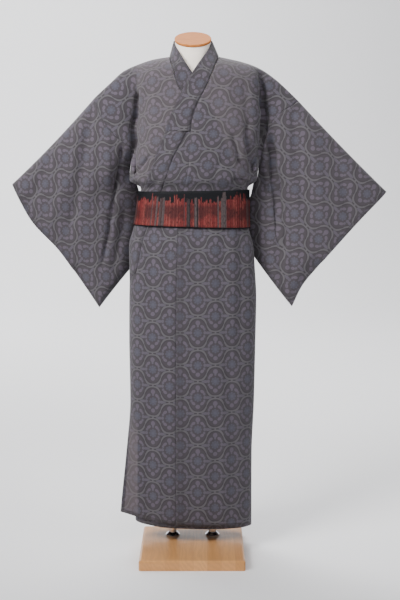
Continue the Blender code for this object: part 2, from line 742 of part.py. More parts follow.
def collar_line(table, sewn, lift):
    """One line across the collar, from the edge it is sewn to, to its free edge."""
    free_x, free_z, free_y, on_chest = (read(table, sewn.z, column) for column in (1, 2, 3, 4))
    free = Vector((free_x, free_y, free_z))
    free_angle = angle_of(free_x, free_z, -1 if free_x < 0 else 1, lift)
    free_angle = min(free_angle, UNDER_EDGE_ANGLE)
    sewn_angle = angle_of(sewn.x, sewn.z, -1 if sewn.x < 0 else 1, lift)
    to_neck = ease((sewn.z - COLLAR_LEAVES_Z) / COLLAR_LEAVES_LENGTH)
    inward = Vector((FORM_MID_X - sewn.x, MID_Y - sewn.y, 0.0)).normalized()
    start = sewn + (inward * COLLAR_SET_IN + Vector((0.0, 0.0, COLLAR_SET_UP))) * to_neck
    line = []
    for column in range(1, COLLAR_COLUMNS + 1):
        share = column / COLLAR_COLUMNS
        here = section_point(mix(sewn.z, free_z, share), mix(sewn_angle, free_angle, share), lift)
        here.y = MID_Y - (MID_Y - here.y) * shoulder_round(ridge_z(here.x) - here.z)
        line.append(start.lerp(free, share).lerp(here, on_chest))
    first = start + (line[0] - start).normalized() * COLLAR_SET_OFF * (1.0 - to_neck)
    return [first] + line


def collar_sheet(over_edge, under_edge, nape):
    """The collar band: up the top front, round the back of the neck and down the front beneath."""
    ends = len(COLLAR_END_LEVELS)
    up = Vector((0.0, 0.0, COLLAR_SET_OFF))
    lines = [[point + up for point in reversed(over_edge[:ends])]]
    lines += [collar_line(COLLAR_OVER_ROWS, point, LIFT_COLLAR_OVER) for point in over_edge[ends:]]
    for index, sewn in enumerate(nape):
        turn = math.pi * (index + 1) / (len(nape) + 1)
        inward = Vector((FORM_MID_X - sewn.x, MID_Y - sewn.y, 0.0)).normalized()
        start = sewn + inward * NAPE_SET_IN + Vector((0.0, 0.0, NAPE_SET_UP))
        free_x = FORM_MID_X + NECK_TOP_RADIUS * math.cos(turn)
        free_y = MID_Y + NAPE_TOP_BACK * math.sin(turn)
        free = Vector((free_x, free_y, mix(COLLAR_OVER_ROWS[-1][2], NAPE_TOP_Z, math.sin(turn))))
        lines.append([start.lerp(free, column / COLLAR_COLUMNS) for column in range(COLLAR_COLUMNS + 1)])
    first_under = [point for point in under_edge if point.z >= COLLAR_UNDER_ROWS[0][0] - SEAM_GAP]
    lines += [collar_line(COLLAR_UNDER_ROWS, point, LIFT_COLLAR_UNDER) for point in reversed(first_under)]
    points = [point for line in lines for point in line]
    faces = []
    width = COLLAR_COLUMNS + 1
    for row in range(len(lines) - 1):
        for column in range(COLLAR_COLUMNS):
            first = row * width + column
            faces.append((first, first + width, first + width + 1, first + 1))
    return points, faces


def sleeve_ring(rows, sleeve):
    """The sleeve's inner edge, from the shoulder line down: middle point, half depth, place along it."""
    steps = [step for step in reversed(BODY_STEPS) if step >= BLOUSE_STEP]
    ring = []
    for step in steps:
        front = chest_sheet(rows, step, 2.0, 0.0, False)
        back = chest_sheet(rows, step, 2.0, 0.0, True)
        middle = (front + back) * 0.5
        ring.append((middle, (back.y - front.y) * 0.5))
    side = sleeve["side"]
    for index, (middle, depth) in enumerate(ring):
        step = steps[index]
        off = 1.0 - ease((step - BLOUSE_STEP) / SLEEVE_PINCH_STEPS)
        middle.x += side * SLEEVE_PINCH_SET_OFF * off
        ring[index] = (middle, mix(depth, max(depth, SLEEVE_PINCH), off))
    start = ring[-1][0]
    corner_x, corner_z = sleeve["inner_corner"]
    path = ((0.0, start.x, start.y, start.z),) + sleeve["hang_points"]
    path = path + ((1.0, corner_x, sleeve["corner_y"], corner_z),)
    for index in range(1, SLEEVE_HANG_ROWS + 1):
        share = index / SLEEVE_HANG_ROWS
        middle = Vector([read(path, share, column) for column in (1, 2, 3)])
        ring.append((middle, SLEEVE_PINCH))
    lengths = [0.0]
    for (before, _), (after, _) in zip(ring, ring[1:]):
        lengths.append(lengths[-1] + math.hypot(after.x - before.x, after.z - before.z))
    return [(middle, depth, length / lengths[-1]) for (middle, depth), length in zip(ring, lengths)]


def sleeve_point(sleeve, ring_row, top_start, along, back):
    """A point of a sleeve, along it from the armhole (0) to the cuff (1)."""
    middle, ring_depth, down = ring_row
    cuff = ((0.0,) + sleeve["cuff_top"],) + sleeve["cuff_points"] + ((1.0,) + sleeve["tip"],)
    cuff_x = read(cuff, down, 1)
    cuff_z = read(cuff, down, 2)
    corner_x, corner_z = sleeve["inner_corner"]
    tip_x, tip_z = sleeve["tip"]
    top_x, top_z = sleeve["cuff_top"]
    bow = 4.0 * along * (1.0 - along)
    ridge_x = mix(top_start.x, top_x, along)
    ridge_height = mix(top_start.z, top_z, along) - sleeve["top_sag"] * bow
    bottom_x = mix(corner_x, tip_x, along)
    bottom_z = mix(corner_z, tip_z, along) - sleeve["bottom_sag"] * bow
    x = mix(middle.x, cuff_x, along) + mix(ridge_x, bottom_x, down)
    x -= mix(mix(top_start.x, top_x, along), mix(corner_x, tip_x, along), down)
    z = mix(middle.z, cuff_z, along) + mix(ridge_height, bottom_z, down)
    z -= mix(mix(top_start.z, top_z, along), mix(corner_z, tip_z, along), down)
    away = 1.0 - (1.0 - along) ** 2
    y = mix(middle.y, mix(SLEEVE_TOP_Y, CUFF_Y, ease(down * 2.0)), 1.0 - (1.0 - along) ** 2.2)
    rounding = math.sqrt(max(0.0, 1.0 - (1.0 - min(down / SLEEVE_ROUND, 1.0)) ** 2))
    open_depth = rounding * mix(CUFF_DEPTH, CUFF_LOW_DEPTH, ease(down))
    depth = ring_depth * (1.0 - away) + open_depth * away
    depth += MIDDLE_DEPTH * bow * rounding * (1.0 - 0.5 * down)
    near_cuff = ease((along - 1.0 + CUFF_SEWN_LENGTH) / CUFF_SEWN_LENGTH)
    below_stop = ease((down - sleeve["stop"]) / CUFF_STOP_LENGTH + 0.8)
    depth = mix(depth, SLEEVE_PINCH, near_cuff * below_stop)
    into_bottom = (down - 1.0 + SLEEVE_BOTTOM_ROUND) / SLEEVE_BOTTOM_ROUND
    if into_bottom > 0.0:
        depth = max(depth * math.sqrt(max(0.0, 1.0 - into_bottom ** 2)), SLEEVE_PINCH)
    if down == 0.0:
        depth = 0.0
    front_y = y - depth
    back_y = y + depth
    if sleeve["side"] > 0 and not back:
        offset = (x - read(SLEEVE_FOLD, z, 1)) / read(SLEEVE_FOLD, z, 3)
        drawn = read(SLEEVE_FOLD, z, 2) * math.exp(-offset * offset) * ease(along / SLEEVE_FOLD_START)
        front_y += min(drawn, SLEEVE_FOLD_LIMIT * (back_y - front_y))
    return Vector((x, back_y if back else front_y, z))


def sleeve_sheet(rows, sleeve):
    """Points and faces of a sleeve: a tube round its length, open at the armhole and the cuff."""
    ring = sleeve_ring(rows, sleeve)
    top_start = ring[0][0]
    points = []
    for along in SLEEVE_ALONG:
        front = [sleeve_point(sleeve, row, top_start, along, False) for row in ring]
        back = [sleeve_point(sleeve, row, top_start, along, True) for row in ring]
        tip = (front[-1] + back[-1]) * 0.5
        down = (tip - (front[-2] + back[-2]) * 0.5).normalized()
        tip = tip + down * SLEEVE_TIP_DROP
        loop = front + [tip] + list(reversed(back[1:]))
        points.extend(loop)
    count = len(ring) * 2
    for index in range(count):
        into = (points[index + count] - points[index]).normalized()
        points[index] += into * SEAM_GAP
    faces = []
    for station in range(len(SLEEVE_ALONG) - 1):
        for index in range(count):
            after = (index + 1) % count
            first = station * count
            face = (first + index, first + after, first + count + after, first + count + index)
            if index >= len(ring):
                face = face[1:] + face[:1]
            faces.append(face if sleeve["side"] > 0 else tuple(reversed(face)))
    return points, faces


def obi_sheet():
    """Points and faces of the obi: a closed band round every layer at the waist."""
    points = []
    rows = ((OBI_BOTTOM, -0.030), (WAIST_Z, 0.0), (OBI_TOP, 0.015))
    for height, slope in rows:
        for index in range(OBI_STEPS):
            degrees = -180.0 + 360.0 * index / OBI_STEPS
            angle = math.radians(degrees)
            lift = read(OBI_LIFTS, degrees, 1)
            x = section_point(WAIST_Z, angle).x
            points.append(section_point(height + slope * x, angle, lift))
    faces = []
    for row in range(len(rows) - 1):
        for index in range(OBI_STEPS):
            after = (index + 1) % OBI_STEPS
            first = row * OBI_STEPS
            above = first + OBI_STEPS
            faces.append((first + index, first + after, above + after, above + index))
    return points, faces


def section_angle(point):
    """The angle round the section of a point on it."""
    side = -1 if point.x < 0 else 1
    ahead = MID_Y - point.y
    depth = read(SECTION, point.z, 3 if ahead > 0 else 4)
    across = min(abs(point.x) / half_width(point.z, side), 1.0)
    sine = math.copysign(across ** (SECTION_POWER / 2.0), point.x)
    cosine = math.copysign(min(abs(ahead) / depth, 1.0) ** (SECTION_POWER / 2.0), ahead)
    return math.atan2(sine, cosine)


def build_form(waist_points, material, collection):
    """The torso: rings stacked from its flat bottom to the tilted top of its neck."""
    seats = sorted((section_angle(point), index) for index, point in enumerate(waist_points))
    ring = []
    for angle, index in seats:
        if not ring or angle - ring[-1][0] > FORM_SEAT_ANGLE:
            ring.append((angle, waist_points[index]))
    for extra in FORM_SIDE_ANGLES:
        ring.append((extra, section_point(WAIST_Z, extra)))
    ring.sort(key=lambda entry: entry[0])
    count = len(ring)
    points = []
    for z, width, front, back, tilt in FORM_RINGS:
        round_share = ease((z - FORM_NECK_Z) / FORM_NECK_BLEND)
        power = mix(SECTION_POWER, 2.0, round_share)
        for angle, seat in ring:
            if width == 0.0:
                inward = Vector((seat.x, seat.y - MID_Y, 0.0))
                before = section_point(WAIST_Z, angle - 0.01)
                after = section_point(WAIST_Z, angle + 0.01)
                tangent = (after - before).normalized()
                outward = Vector((tangent.y, -tangent.x, 0.0))
                if outward.dot(inward) < 0.0:
                    outward = -outward
                points.append(seat - outward * (CLOTH * 0.5 + WAIST_SEAT))
                continue
            sine = math.sin(angle)
            cosine = math.cos(angle)
            x = width * math.copysign(abs(sine) ** (2.0 / power), sine)
            depth = front if cosine > 0 else back
            y = -depth * math.copysign(abs(cosine) ** (2.0 / power), cosine)
            lean = math.radians(tilt)
            x += FORM_MID_X * round_share
            points.append(Vector((x, MID_Y + y * math.cos(lean), z + y * math.sin(lean))))
    faces = [tuple(reversed(range(count)))]
    for row in range(len(FORM_RINGS) - 1):
        for index in range(count):
            after = (index + 1) % count
            first = row * count
            faces.append((first + index, first + after, first + count + after, first + count + index))
    top = (len(FORM_RINGS) - 1) * count
    faces.append(tuple(range(top, top + count)))
    mesh = bpy.data.meshes.new("form")
    mesh.from_pydata([tuple(p) for p in points], [], faces)
    mesh.update()
    mesh.polygons.foreach_set("use_smooth", [True] * len(mesh.polygons))
    mesh.materials.append(material)
    item = bpy.data.objects.new("form", mesh)
    collection.objects.link(item)
    return item


def keep_in(collection, item, name, material):
    item.name = name
    item.data.name = name
    item.data.materials.clear()
    item.data.materials.append(material)
    for owner in list(item.users_collection):
        owner.objects.unlink(item)
    collection.objects.link(item)


def build_cap(material, collection):
    ring_z, _, _, _, tilt = FORM_RINGS[-1]
    lean = math.radians(tilt)
    normal = Vector((0.0, -math.sin(lean), math.cos(lean)))
    centre = Vector((FORM_MID_X, MID_Y, ring_z)) + normal * (TOUCH_GAP + CAP_THICKNESS * 0.5)
    bpy.ops.mesh.primitive_cylinder_add(vertices=48, radius=CAP_RADIUS, depth=CAP_THICKNESS,
                                        location=centre, rotation=(lean, 0.0, 0.0))
    item = bpy.context.object
    keep_in(collection, item, "neck_cap", material)
    bevel = item.modifiers.new("Rounded rim", "BEVEL")
    bevel.width = CAP_ROUND
    bevel.segments = 2
    bevel.limit_method = "ANGLE"


def build_post(name, x, material, collection):
    bottom = BASE_HEIGHT + TOUCH_GAP
    top = FORM_RINGS[0][0] - TOUCH_GAP
    bpy.ops.mesh.primitive_cylinder_add(vertices=32, radius=POST_RADIUS, depth=top - bottom,
                                        location=(x, POST_Y, (top + bottom) * 0.5))
    keep_in(collection, bpy.context.object, name, material)


def build_flange(name, x, material, collection):
    """A low domed ring turned about the post."""
    inner = POST_RADIUS + TOUCH_GAP
    slope = [(FLANGE_RADIUS - inset, height) for inset, height in FLANGE_SLOPE]
    outline = [(inner, 0.0), (FLANGE_RADIUS, 0.0)] + slope
    outline += [(inner + FLANGE_LIP, FLANGE_HEIGHT), (inner, FLANGE_HEIGHT)]
    mesh = bpy.data.meshes.new(name)
    edges = [(i, (i + 1) % len(outline)) for i in range(len(outline))]
    mesh.from_pydata([(radius, 0.0, z) for radius, z in outline], edges, [])
    item = bpy.data.objects.new(name, mesh)
    mesh.materials.append(material)
    item.location = (x, POST_Y, BASE_HEIGHT + TOUCH_GAP)
    collection.objects.link(item)
    screw = item.modifiers.new("Turned", "SCREW")
    screw.axis = "Z"
    screw.steps = 32
    screw.render_steps = 32
    screw.use_merge_vertices = True
    screw.merge_threshold = 0.00001
    screw.use_normal_calculate = True
    screw.use_normal_flip = True


def build_base(material, collection):
    bpy.ops.mesh.primitive_cube_add(size=1.0, location=(0.0, 0.0, BASE_HEIGHT * 0.5))
    item = bpy.context.object
    item.scale = (BASE_WIDTH, BASE_WIDTH, BASE_HEIGHT)
    bpy.ops.object.transform_apply(location=False, rotation=False, scale=True)
    keep_in(collection, item, "base", material)
    mesh = item.data
    shape = bmesh.new()
    shape.from_mesh(mesh)
    rims = [edge for edge in shape.edges if max(v.co.z for v in edge.verts) > 0.0]
    bmesh.ops.bevel(shape, geom=rims, offset=BASE_ROUND, segments=3, profile=0.5, affect="EDGES")
    shape.to_mesh(mesh)
    shape.free()


def build_cloth(collection, fabric, fabric_obi):
    """Every cloth wall. Pieces sewn together share the normals at their seam."""
    sheets = {}
    edges = {}
    for name, rows, over in (("right", BODY_RIGHT_ROWS, False), ("left", BODY_LEFT_ROWS, True)):
        points, faces, body_edge = body_sheet(rows, over)
        sheets["body_" + name] = (points, faces)
        points, faces, panel_edge = panel_sheet(over)
        sheets["okumi_" + name] = (points, faces)
        fronts = len(body_edge) - NECK_COLUMNS
        edges[name] = (panel_edge + body_edge[:fronts], body_edge[fronts:])
    sheets["sleeve_right"] = sleeve_sheet(BODY_RIGHT_ROWS, SLEEVE_RIGHT)
    sheets["sleeve_left"] = sleeve_sheet(BODY_LEFT_ROWS, SLEEVE_LEFT)
    normals = share_normals(sheets)
    for name, (points, faces) in sheets.items():
        wall_from_sheet(name, points, faces, normals[name], CLOTH, fabric, collection)
    nape = edges["left"][1] + list(reversed(edges["right"][1][:-1]))
    points, faces = collar_sheet(edges["left"][0], edges["right"][0], nape)
    wall_from_sheet("collar", points, faces, sheet_normals(points, faces), CLOTH, fabric, collection)
    points, faces = obi_sheet()
    wall_from_sheet("obi", points, faces, sheet_normals(points, faces), OBI_CLOTH, fabric_obi, collection)


def waist_ring():
    """The innermost layer's points at the waist, where it is tied against the form."""
    across_front = [i / CHEST_COLUMNS for i in range(CHEST_COLUMNS + 1)]
    across_front += [1.0 + i / WING_COLUMNS for i in range(1, WING_COLUMNS + 1)]
    across_back = [-1.0 + i / NECK_COLUMNS for i in range(NECK_COLUMNS)] + across_front
    points = [chest_sheet(BODY_RIGHT_ROWS, 0.0, across, 0.0, False) for across in across_front]
    for rows in (BODY_RIGHT_ROWS, BODY_LEFT_ROWS):
        points += [chest_sheet(rows, 0.0, across, 0.0, True) for across in across_back]
    start = angle_of(read(BODY_RIGHT_ROWS, 0.0, 1), WAIST_Z, 1)
    end = min(angle_of(read(PANEL_EDGE, WAIST_Z, 1), WAIST_Z, 1), UNDER_EDGE_ANGLE)
    for column in range(1, PANEL_COLUMNS + 1):
        points.append(section_point(WAIST_Z, mix(start, end, column / PANEL_COLUMNS)))
    points.append(section_point(WAIST_Z, mix(end, FORM_SIDE_ANGLES[0], 0.5)))
    return points


def main():
    clear_scene()
    collection = make_collection("yukata_on_form")
    fabric = make_material("dark_cotton", (0.105, 0.095, 0.103), 0.9)
    fabric_obi = make_material("obi_cloth", (0.10, 0.03, 0.03), 0.8)
    cream = make_material("form_cloth", (0.80, 0.74, 0.68), 0.85)
    cap_wood = make_material("cap_wood", (0.62, 0.32, 0.14), 0.45)
    chrome = make_material("chrome", (0.75, 0.75, 0.77), 0.12, 1.0)
    base_wood = make_material("base_wood", (0.66, 0.42, 0.24), 0.35)
    build_cloth(collection, fabric, fabric_obi)
    build_form(waist_ring(), cream, collection)
    build_cap(cap_wood, collection)
    for name, x in (("right", -POST_X), ("left", POST_X)):
        build_post("post_" + name, x, chrome, collection)
        build_flange("flange_" + name, x, chrome, collection)
    build_base(base_wood, collection)


main()
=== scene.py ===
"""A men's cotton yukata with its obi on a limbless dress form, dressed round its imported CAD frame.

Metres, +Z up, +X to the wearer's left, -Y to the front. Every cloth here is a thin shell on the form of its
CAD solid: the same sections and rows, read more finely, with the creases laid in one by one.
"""

import math

import bpy
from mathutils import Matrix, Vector


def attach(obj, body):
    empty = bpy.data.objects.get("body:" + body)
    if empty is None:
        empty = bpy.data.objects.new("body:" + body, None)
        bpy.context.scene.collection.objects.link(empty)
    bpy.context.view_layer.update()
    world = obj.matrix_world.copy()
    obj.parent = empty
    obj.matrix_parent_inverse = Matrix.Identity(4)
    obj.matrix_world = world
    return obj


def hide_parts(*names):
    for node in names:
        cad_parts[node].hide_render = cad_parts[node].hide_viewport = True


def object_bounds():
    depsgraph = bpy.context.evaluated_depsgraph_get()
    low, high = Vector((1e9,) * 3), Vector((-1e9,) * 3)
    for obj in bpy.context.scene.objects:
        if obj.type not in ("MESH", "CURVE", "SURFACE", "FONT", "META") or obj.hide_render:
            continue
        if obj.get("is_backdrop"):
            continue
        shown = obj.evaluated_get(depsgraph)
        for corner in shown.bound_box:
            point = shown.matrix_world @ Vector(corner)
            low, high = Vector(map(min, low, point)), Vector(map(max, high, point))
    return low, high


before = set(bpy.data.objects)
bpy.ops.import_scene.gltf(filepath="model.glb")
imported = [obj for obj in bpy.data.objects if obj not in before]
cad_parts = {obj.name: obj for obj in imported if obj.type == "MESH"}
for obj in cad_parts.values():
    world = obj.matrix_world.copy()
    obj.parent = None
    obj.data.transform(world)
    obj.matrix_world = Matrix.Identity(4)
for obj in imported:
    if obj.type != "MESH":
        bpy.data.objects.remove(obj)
cad_low, cad_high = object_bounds()


# The studio: a pale seamless sweep of paper under the stand and up behind it, soft windows at the left and
# in front, a fill at the right, two washes on the paper and a pale sky. The camera stands where the photo
# was taken from, a little above the obi's height and pitched down a few degrees.
CAMERA_PLACE = (0.0237, -3.259, 1.203)
CAMERA_PITCH = math.radians(7.12)
CAMERA_LENS = 64.8
SENSOR_WIDTH = 36.0
SWEEP_FRONT = -9.0
SWEEP_BACK = 8.4
SWEEP_HALF_WIDTH = 9.0
SWEEP_HEIGHT = 7.5
SWEEP_ROUND = 3.0
SWEEP_STEPS = 16
PAPER = (0.87, 0.87, 0.885)
PAPER_GRAIN = 260.0
SKY = (0.93, 0.94, 0.97)
SKY_STRENGTH = 0.24
LIGHTS = (
    # name, place, point it aims at, size, power, colour, spread in degrees
    ("window_left", (-2.1, -2.0, 2.9), (-0.12, 0.0, 1.25), (1.8, 1.6), 27.0, (1.0, 0.99, 0.985), 56.0),
    ("window_front", (0.3, -2.9, 3.2), (0.0, 0.0, 1.35), (2.4, 1.2), 11.0, (1.0, 1.0, 1.0), 66.0),
    ("fill_right", (2.8, -1.9, 2.6), (0.0, 0.0, 1.15), (1.4, 1.8), 31.0, (0.97, 0.98, 1.0), 180.0),
    ("sweep_wash", (-3.2, 3.4, 6.0), (-1.0, 8.2, 1.6), (5.0, 3.0), 640.0, (1.0, 1.0, 1.0), 180.0),
    ("floor_wash", (-0.8, 3.4, 5.6), (-0.4, 3.8, 0.0), (5.0, 3.0), 260.0, (1.0, 1.0, 1.0), 180.0),
)


def put_in_scene(name, data):
    item = bpy.data.objects.new(name, data)
    bpy.context.scene.collection.objects.link(item)
    return item


def smooth_mesh(name, points, faces):
    mesh = bpy.data.meshes.new(name)
    mesh.from_pydata(points, [], faces)
    mesh.polygons.foreach_set("use_smooth", [True] * len(mesh.polygons))
    return mesh


def add_camera():
    data = bpy.data.cameras.new("photo_camera")
    data.sensor_width = SENSOR_WIDTH
    data.lens = CAMERA_LENS
    camera = put_in_scene("photo_camera", data)
    camera.location = CAMERA_PLACE
    camera.rotation_euler = (math.pi / 2.0 - CAMERA_PITCH, 0.0, 0.0)
    bpy.context.scene.camera = camera


def add_soft_light(name, place, aim, size, power, colour, spread):
    data = bpy.data.lights.new(name, "AREA")
    data.shape = "RECTANGLE"
    data.size, data.size_y = size
    data.energy = power
    data.color = colour
    data.spread = math.radians(spread)
    light = put_in_scene(name, data)
    light.location = place
    light.rotation_euler = (Vector(aim) - Vector(place)).to_track_quat("-Z", "Y").to_euler()


def add_sweep():
    """The floor, the round foot of the sweep and the paper hanging behind."""
    foot = SWEEP_BACK - SWEEP_ROUND
    profile = [(SWEEP_FRONT, 0.0), (foot, 0.0)]
    for step in range(1, SWEEP_STEPS + 1):
        turn = math.pi / 2.0 * step / SWEEP_STEPS
        profile.append((foot + SWEEP_ROUND * math.sin(turn), SWEEP_ROUND * (1.0 - math.cos(turn))))
    profile.append((SWEEP_BACK, SWEEP_HEIGHT))
    points = [(side * SWEEP_HALF_WIDTH, y, z) for y, z in profile for side in (-1.0, 1.0)]
    faces = [(2 * row, 2 * row + 1, 2 * row + 3, 2 * row + 2) for row in range(len(profile) - 1)]
    return put_in_scene("paper_sweep", smooth_mesh("paper_sweep", points, faces))


def new_material(name, colour, roughness, finish=()):
    """A Principled material. Returns it with its node tree and its shader's sockets."""
    material = bpy.data.materials.new(name)
    material.use_nodes = True
    shader = material.node_tree.nodes["Principled BSDF"]
    shader.inputs["Base Color"].default_value = (*colour, 1.0)
    shader.inputs["Roughness"].default_value = roughness
    for socket, value in finish:
        shader.inputs[socket].default_value = value
    return material, material.node_tree, shader.inputs


def feed(socket, value):
    """Give a socket a plain value, a colour or another node's output."""
    if isinstance(value, bpy.types.NodeSocket):
        value.id_data.links.new(value, socket)
    elif isinstance(value, tuple) and socket.type == "RGBA":
        socket.default_value = (*value, 1.0)
    else:
        socket.default_value = value


def new_node(kind, values, out=0, **settings):
    """A node fed with values by its sockets' names or numbers. Returns one output, or a slice of them."""
    tree = next(value.id_data for value in values.values() if isinstance(value, bpy.types.NodeSocket))
    node = tree.nodes.new("ShaderNode" + kind)
    for setting, value in settings.items():
        setattr(node, setting, value)
    for socket, value in values.items():
        feed(node.inputs[socket], value)
    return node.outputs[out]


def add_bump(height, strength, distance, sockets):
    normal = new_node("Bump", {"Strength": strength, "Distance": distance, "Height": height})
    feed(sockets["Normal"], normal)


def paper_material():
    material, tree, sockets = new_material("pale_paper", PAPER, 0.9)
    noise = tree.nodes.new("ShaderNodeTexNoise")
    noise.inputs["Scale"].default_value = PAPER_GRAIN
    add_bump(noise.outputs["Fac"], 0.04, 0.0004, sockets)
    return material


add_camera()
sweep = add_sweep()
sweep.data.materials.append(paper_material())
sweep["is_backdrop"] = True
for light in LIGHTS:
    add_soft_light(*light)
sky = bpy.data.worlds.new("studio_air")
sky.use_nodes = True
sky.node_tree.nodes["Background"].inputs["Color"].default_value = (*SKY, 1.0)
sky.node_tree.nodes["Background"].inputs["Strength"].default_value = SKY_STRENGTH
bpy.context.scene.world = sky


# The base board: a square of varnished light hardwood glued up from staves that run from front to back, so
# that its front edge shows their end grain. Its upper rim and corners are rounded over.
STAVE_WIDTH = 0.042
FIRST_STAVE = 0.5
STAVE_LIGHT = (0.66, 0.335, 0.130)
STAVE_DARK = (0.50, 0.235, 0.080)
GRAIN_DARK = (0.36, 0.175, 0.075)
VARNISH = (("Specular IOR Level", 0.25), ("Coat Weight", 0.14), ("Coat Roughness", 0.10))
STAVE_SHIFT = 7.0
RINGS_ACROSS = 420.0
RINGS_UP = 330.0
RING_SHIFT = 9.0
RING_WANDER = 34.0
RING_DEPTH = 0.55
GLUE_EDGE = 0.489
GLUE_DARK = 0.35


def math_step(operation):
    """A function that adds one kind of math node on sockets and plain numbers."""
    return lambda *values: new_node("Math", dict(enumerate(values)), operation=operation)


plus = math_step("ADD")
minus = math_step("SUBTRACT")
times = math_step("MULTIPLY")
times_plus = math_step("MULTIPLY_ADD")
divided = math_step("DIVIDE")
absolute = math_step("ABSOLUTE")
largest = math_step("MAXIMUM")
is_above = math_step("GREATER_THAN")
whole_part = math_step("FLOOR")
sine_of = math_step("SINE")


def split_place(place):
    """The x, y and z of a place, as separate sockets."""
    return new_node("SeparateXYZ", {0: place}, slice(3))


def object_place(tree):
    return split_place(tree.nodes.new("ShaderNodeTexCoord").outputs["Object"])


def join_place(x, y, z):
    return new_node("CombineXYZ", {0: x, 1: y, 2: z})


def add_noise(place, scale, detail=2.0):
    return new_node("TexNoise", {"Vector": place, "Scale": scale, "Detail": detail})


def chance_of(number):
    """A value by chance for each whole number."""
    return new_node("TexWhiteNoise", {"W": number}, noise_dimensions="1D")


def add_mix(factor, first, second):
    """Two colours mixed by a factor; each may be a socket or a colour."""
    return new_node("Mix", {0: factor, 6: first, 7: second}, 2, data_type="RGBA")


def stave_wood():
    material, tree, sockets = new_material("varnished_staves", STAVE_LIGHT, 0.30, VARNISH)
    x, y, z = object_place(tree)
    staves = divided(plus(x, FIRST_STAVE), STAVE_WIDTH)
    chance = chance_of(whole_part(staves))
    shift = times(chance, STAVE_SHIFT)
    wander = add_noise(join_place(x, times(y, 0.16), shift), 24.0, 3.0)
    rings = plus(times(x, RINGS_ACROSS), times(z, RINGS_UP))
    rings = plus(rings, times(wander, RING_WANDER))
    rings = times_plus(sine_of(plus(rings, times(shift, RING_SHIFT))), 0.5, 0.5)
    fibre = add_noise(join_place(x, times(y, 0.03), z), 900.0)
    grain = times(rings, times(fibre, RING_DEPTH))
    tone = add_mix(grain, add_mix(chance, STAVE_LIGHT, STAVE_DARK), GRAIN_DARK)
    from_middle = absolute(minus(math_step("FRACT")(staves), 0.5))
    glue = is_above(from_middle, GLUE_EDGE)
    feed(sockets["Base Color"], add_mix(times(glue, GLUE_DARK), tone, GRAIN_DARK))
    feed(sockets["Roughness"], times_plus(fibre, 0.12, 0.24))
    add_bump(grain, 0.25, 0.0003, sockets)
    return material


def give_material(node, material):
    """Put a material on a CAD node's own object."""
    item = bpy.data.objects[node]
    item.data.materials.clear()
    item.data.materials.append(material)


give_material("base", stave_wood())


# The stand: two steel tubes with polished chrome on them, each standing in a low domed flange on the board.
# They carry the torso and are hidden by the skirt nearly to their feet.
CHROME = (0.90, 0.90, 0.92)


def polished_chrome():
    material, tree, sockets = new_material("polished_chrome", CHROME, 0.16, (("Metallic", 1.0),))
    x, y, z = object_place(tree)
    brushed = add_noise(join_place(x, y, times(z, 0.08)), 1400.0)
    smear = add_noise(join_place(x, y, z), 38.0, 3.0)
    feed(sockets["Roughness"], times_plus(smear, 0.16, 0.12))
    add_bump(brushed, 0.05, 0.0001, sockets)
    return material


chrome = polished_chrome()
for node in ("post_left", "post_right", "flange_left", "flange_right"):
    give_material(node, chrome)


# The dress form: a light moulded torso covered in cream cotton jersey, stretched smooth, that shows in the
# open neck. A tilted disc of stained wood with a rounded rim closes its neck.
CREAM = (0.97, 0.885, 0.805)
CREAM_SHADE = (0.90, 0.800, 0.705)
JERSEY_THREAD = 0.0009
TORSO_MID_Y = 0.06
TORSO_RADIUS = 0.11
CAP_LIGHT = (0.54, 0.205, 0.062)
CAP_DARK = (0.40, 0.125, 0.030)
CAP_RINGS = 900.0
CAP_WANDER = 26.0


def new_group(name, inputs, outputs):
    """A node group. Returns it, its inputs as sockets to read, and its outputs as sockets to feed."""
    group = bpy.data.node_groups.new(name, "ShaderNodeTree")
    for way, sockets in (("INPUT", inputs), ("OUTPUT", outputs)):
        for socket, kind in sockets:
            group.interface.new_socket(name=socket, in_out=way, socket_type="NodeSocket" + kind)
    return group, group.nodes.new("NodeGroupInput").outputs, group.nodes.new("NodeGroupOutput").inputs


def weave_group():
    """Plain weave: a height for bump and a mask of the gaps, from a place in metres and a thread's width."""
    group, given, result = new_group("plain_weave", (("Place", "Vector"), ("Thread", "Float")),
                                     (("Height", "Float"), ("Gap", "Float")))
    across, along, _ = split_place(given["Place"])
    warp, weft = (sine_of(times(divided(place, given["Thread"]), math.pi)) for place in (across, along))
    rough = add_noise(given["Place"], 900.0, 3.0)
    feed(result["Height"], times_plus(times(warp, weft), 0.5, rough))
    feed(result["Gap"], minus(1.0, largest(absolute(warp), absolute(weft))))
    return group


plain_weave = weave_group()


def add_weave(place, thread):
    node = place.id_data.nodes.new("ShaderNodeGroup")
    node.node_tree = plain_weave
    node.inputs["Thread"].default_value = thread
    feed(node.inputs["Place"], place)
    return node.outputs["Height"], node.outputs["Gap"]


def cream_jersey():
    material, tree, sockets = new_material("cream_jersey", CREAM, 0.88, (("Sheen Weight", 0.25),))
    x, y, z = object_place(tree)
    around = times(math_step("ARCTAN2")(x, minus(y, TORSO_MID_Y)), TORSO_RADIUS)
    height, gap = add_weave(join_place(around, z, 0.0), JERSEY_THREAD)
    cloud = add_noise(join_place(x, y, z), 14.0, 3.0)
    tone = add_mix(times(cloud, 0.45), CREAM, CREAM_SHADE)
    feed(sockets["Base Color"], add_mix(times(gap, 0.35), tone, CREAM_SHADE))
    add_bump(height, 0.25, 0.0003, sockets)
    return material


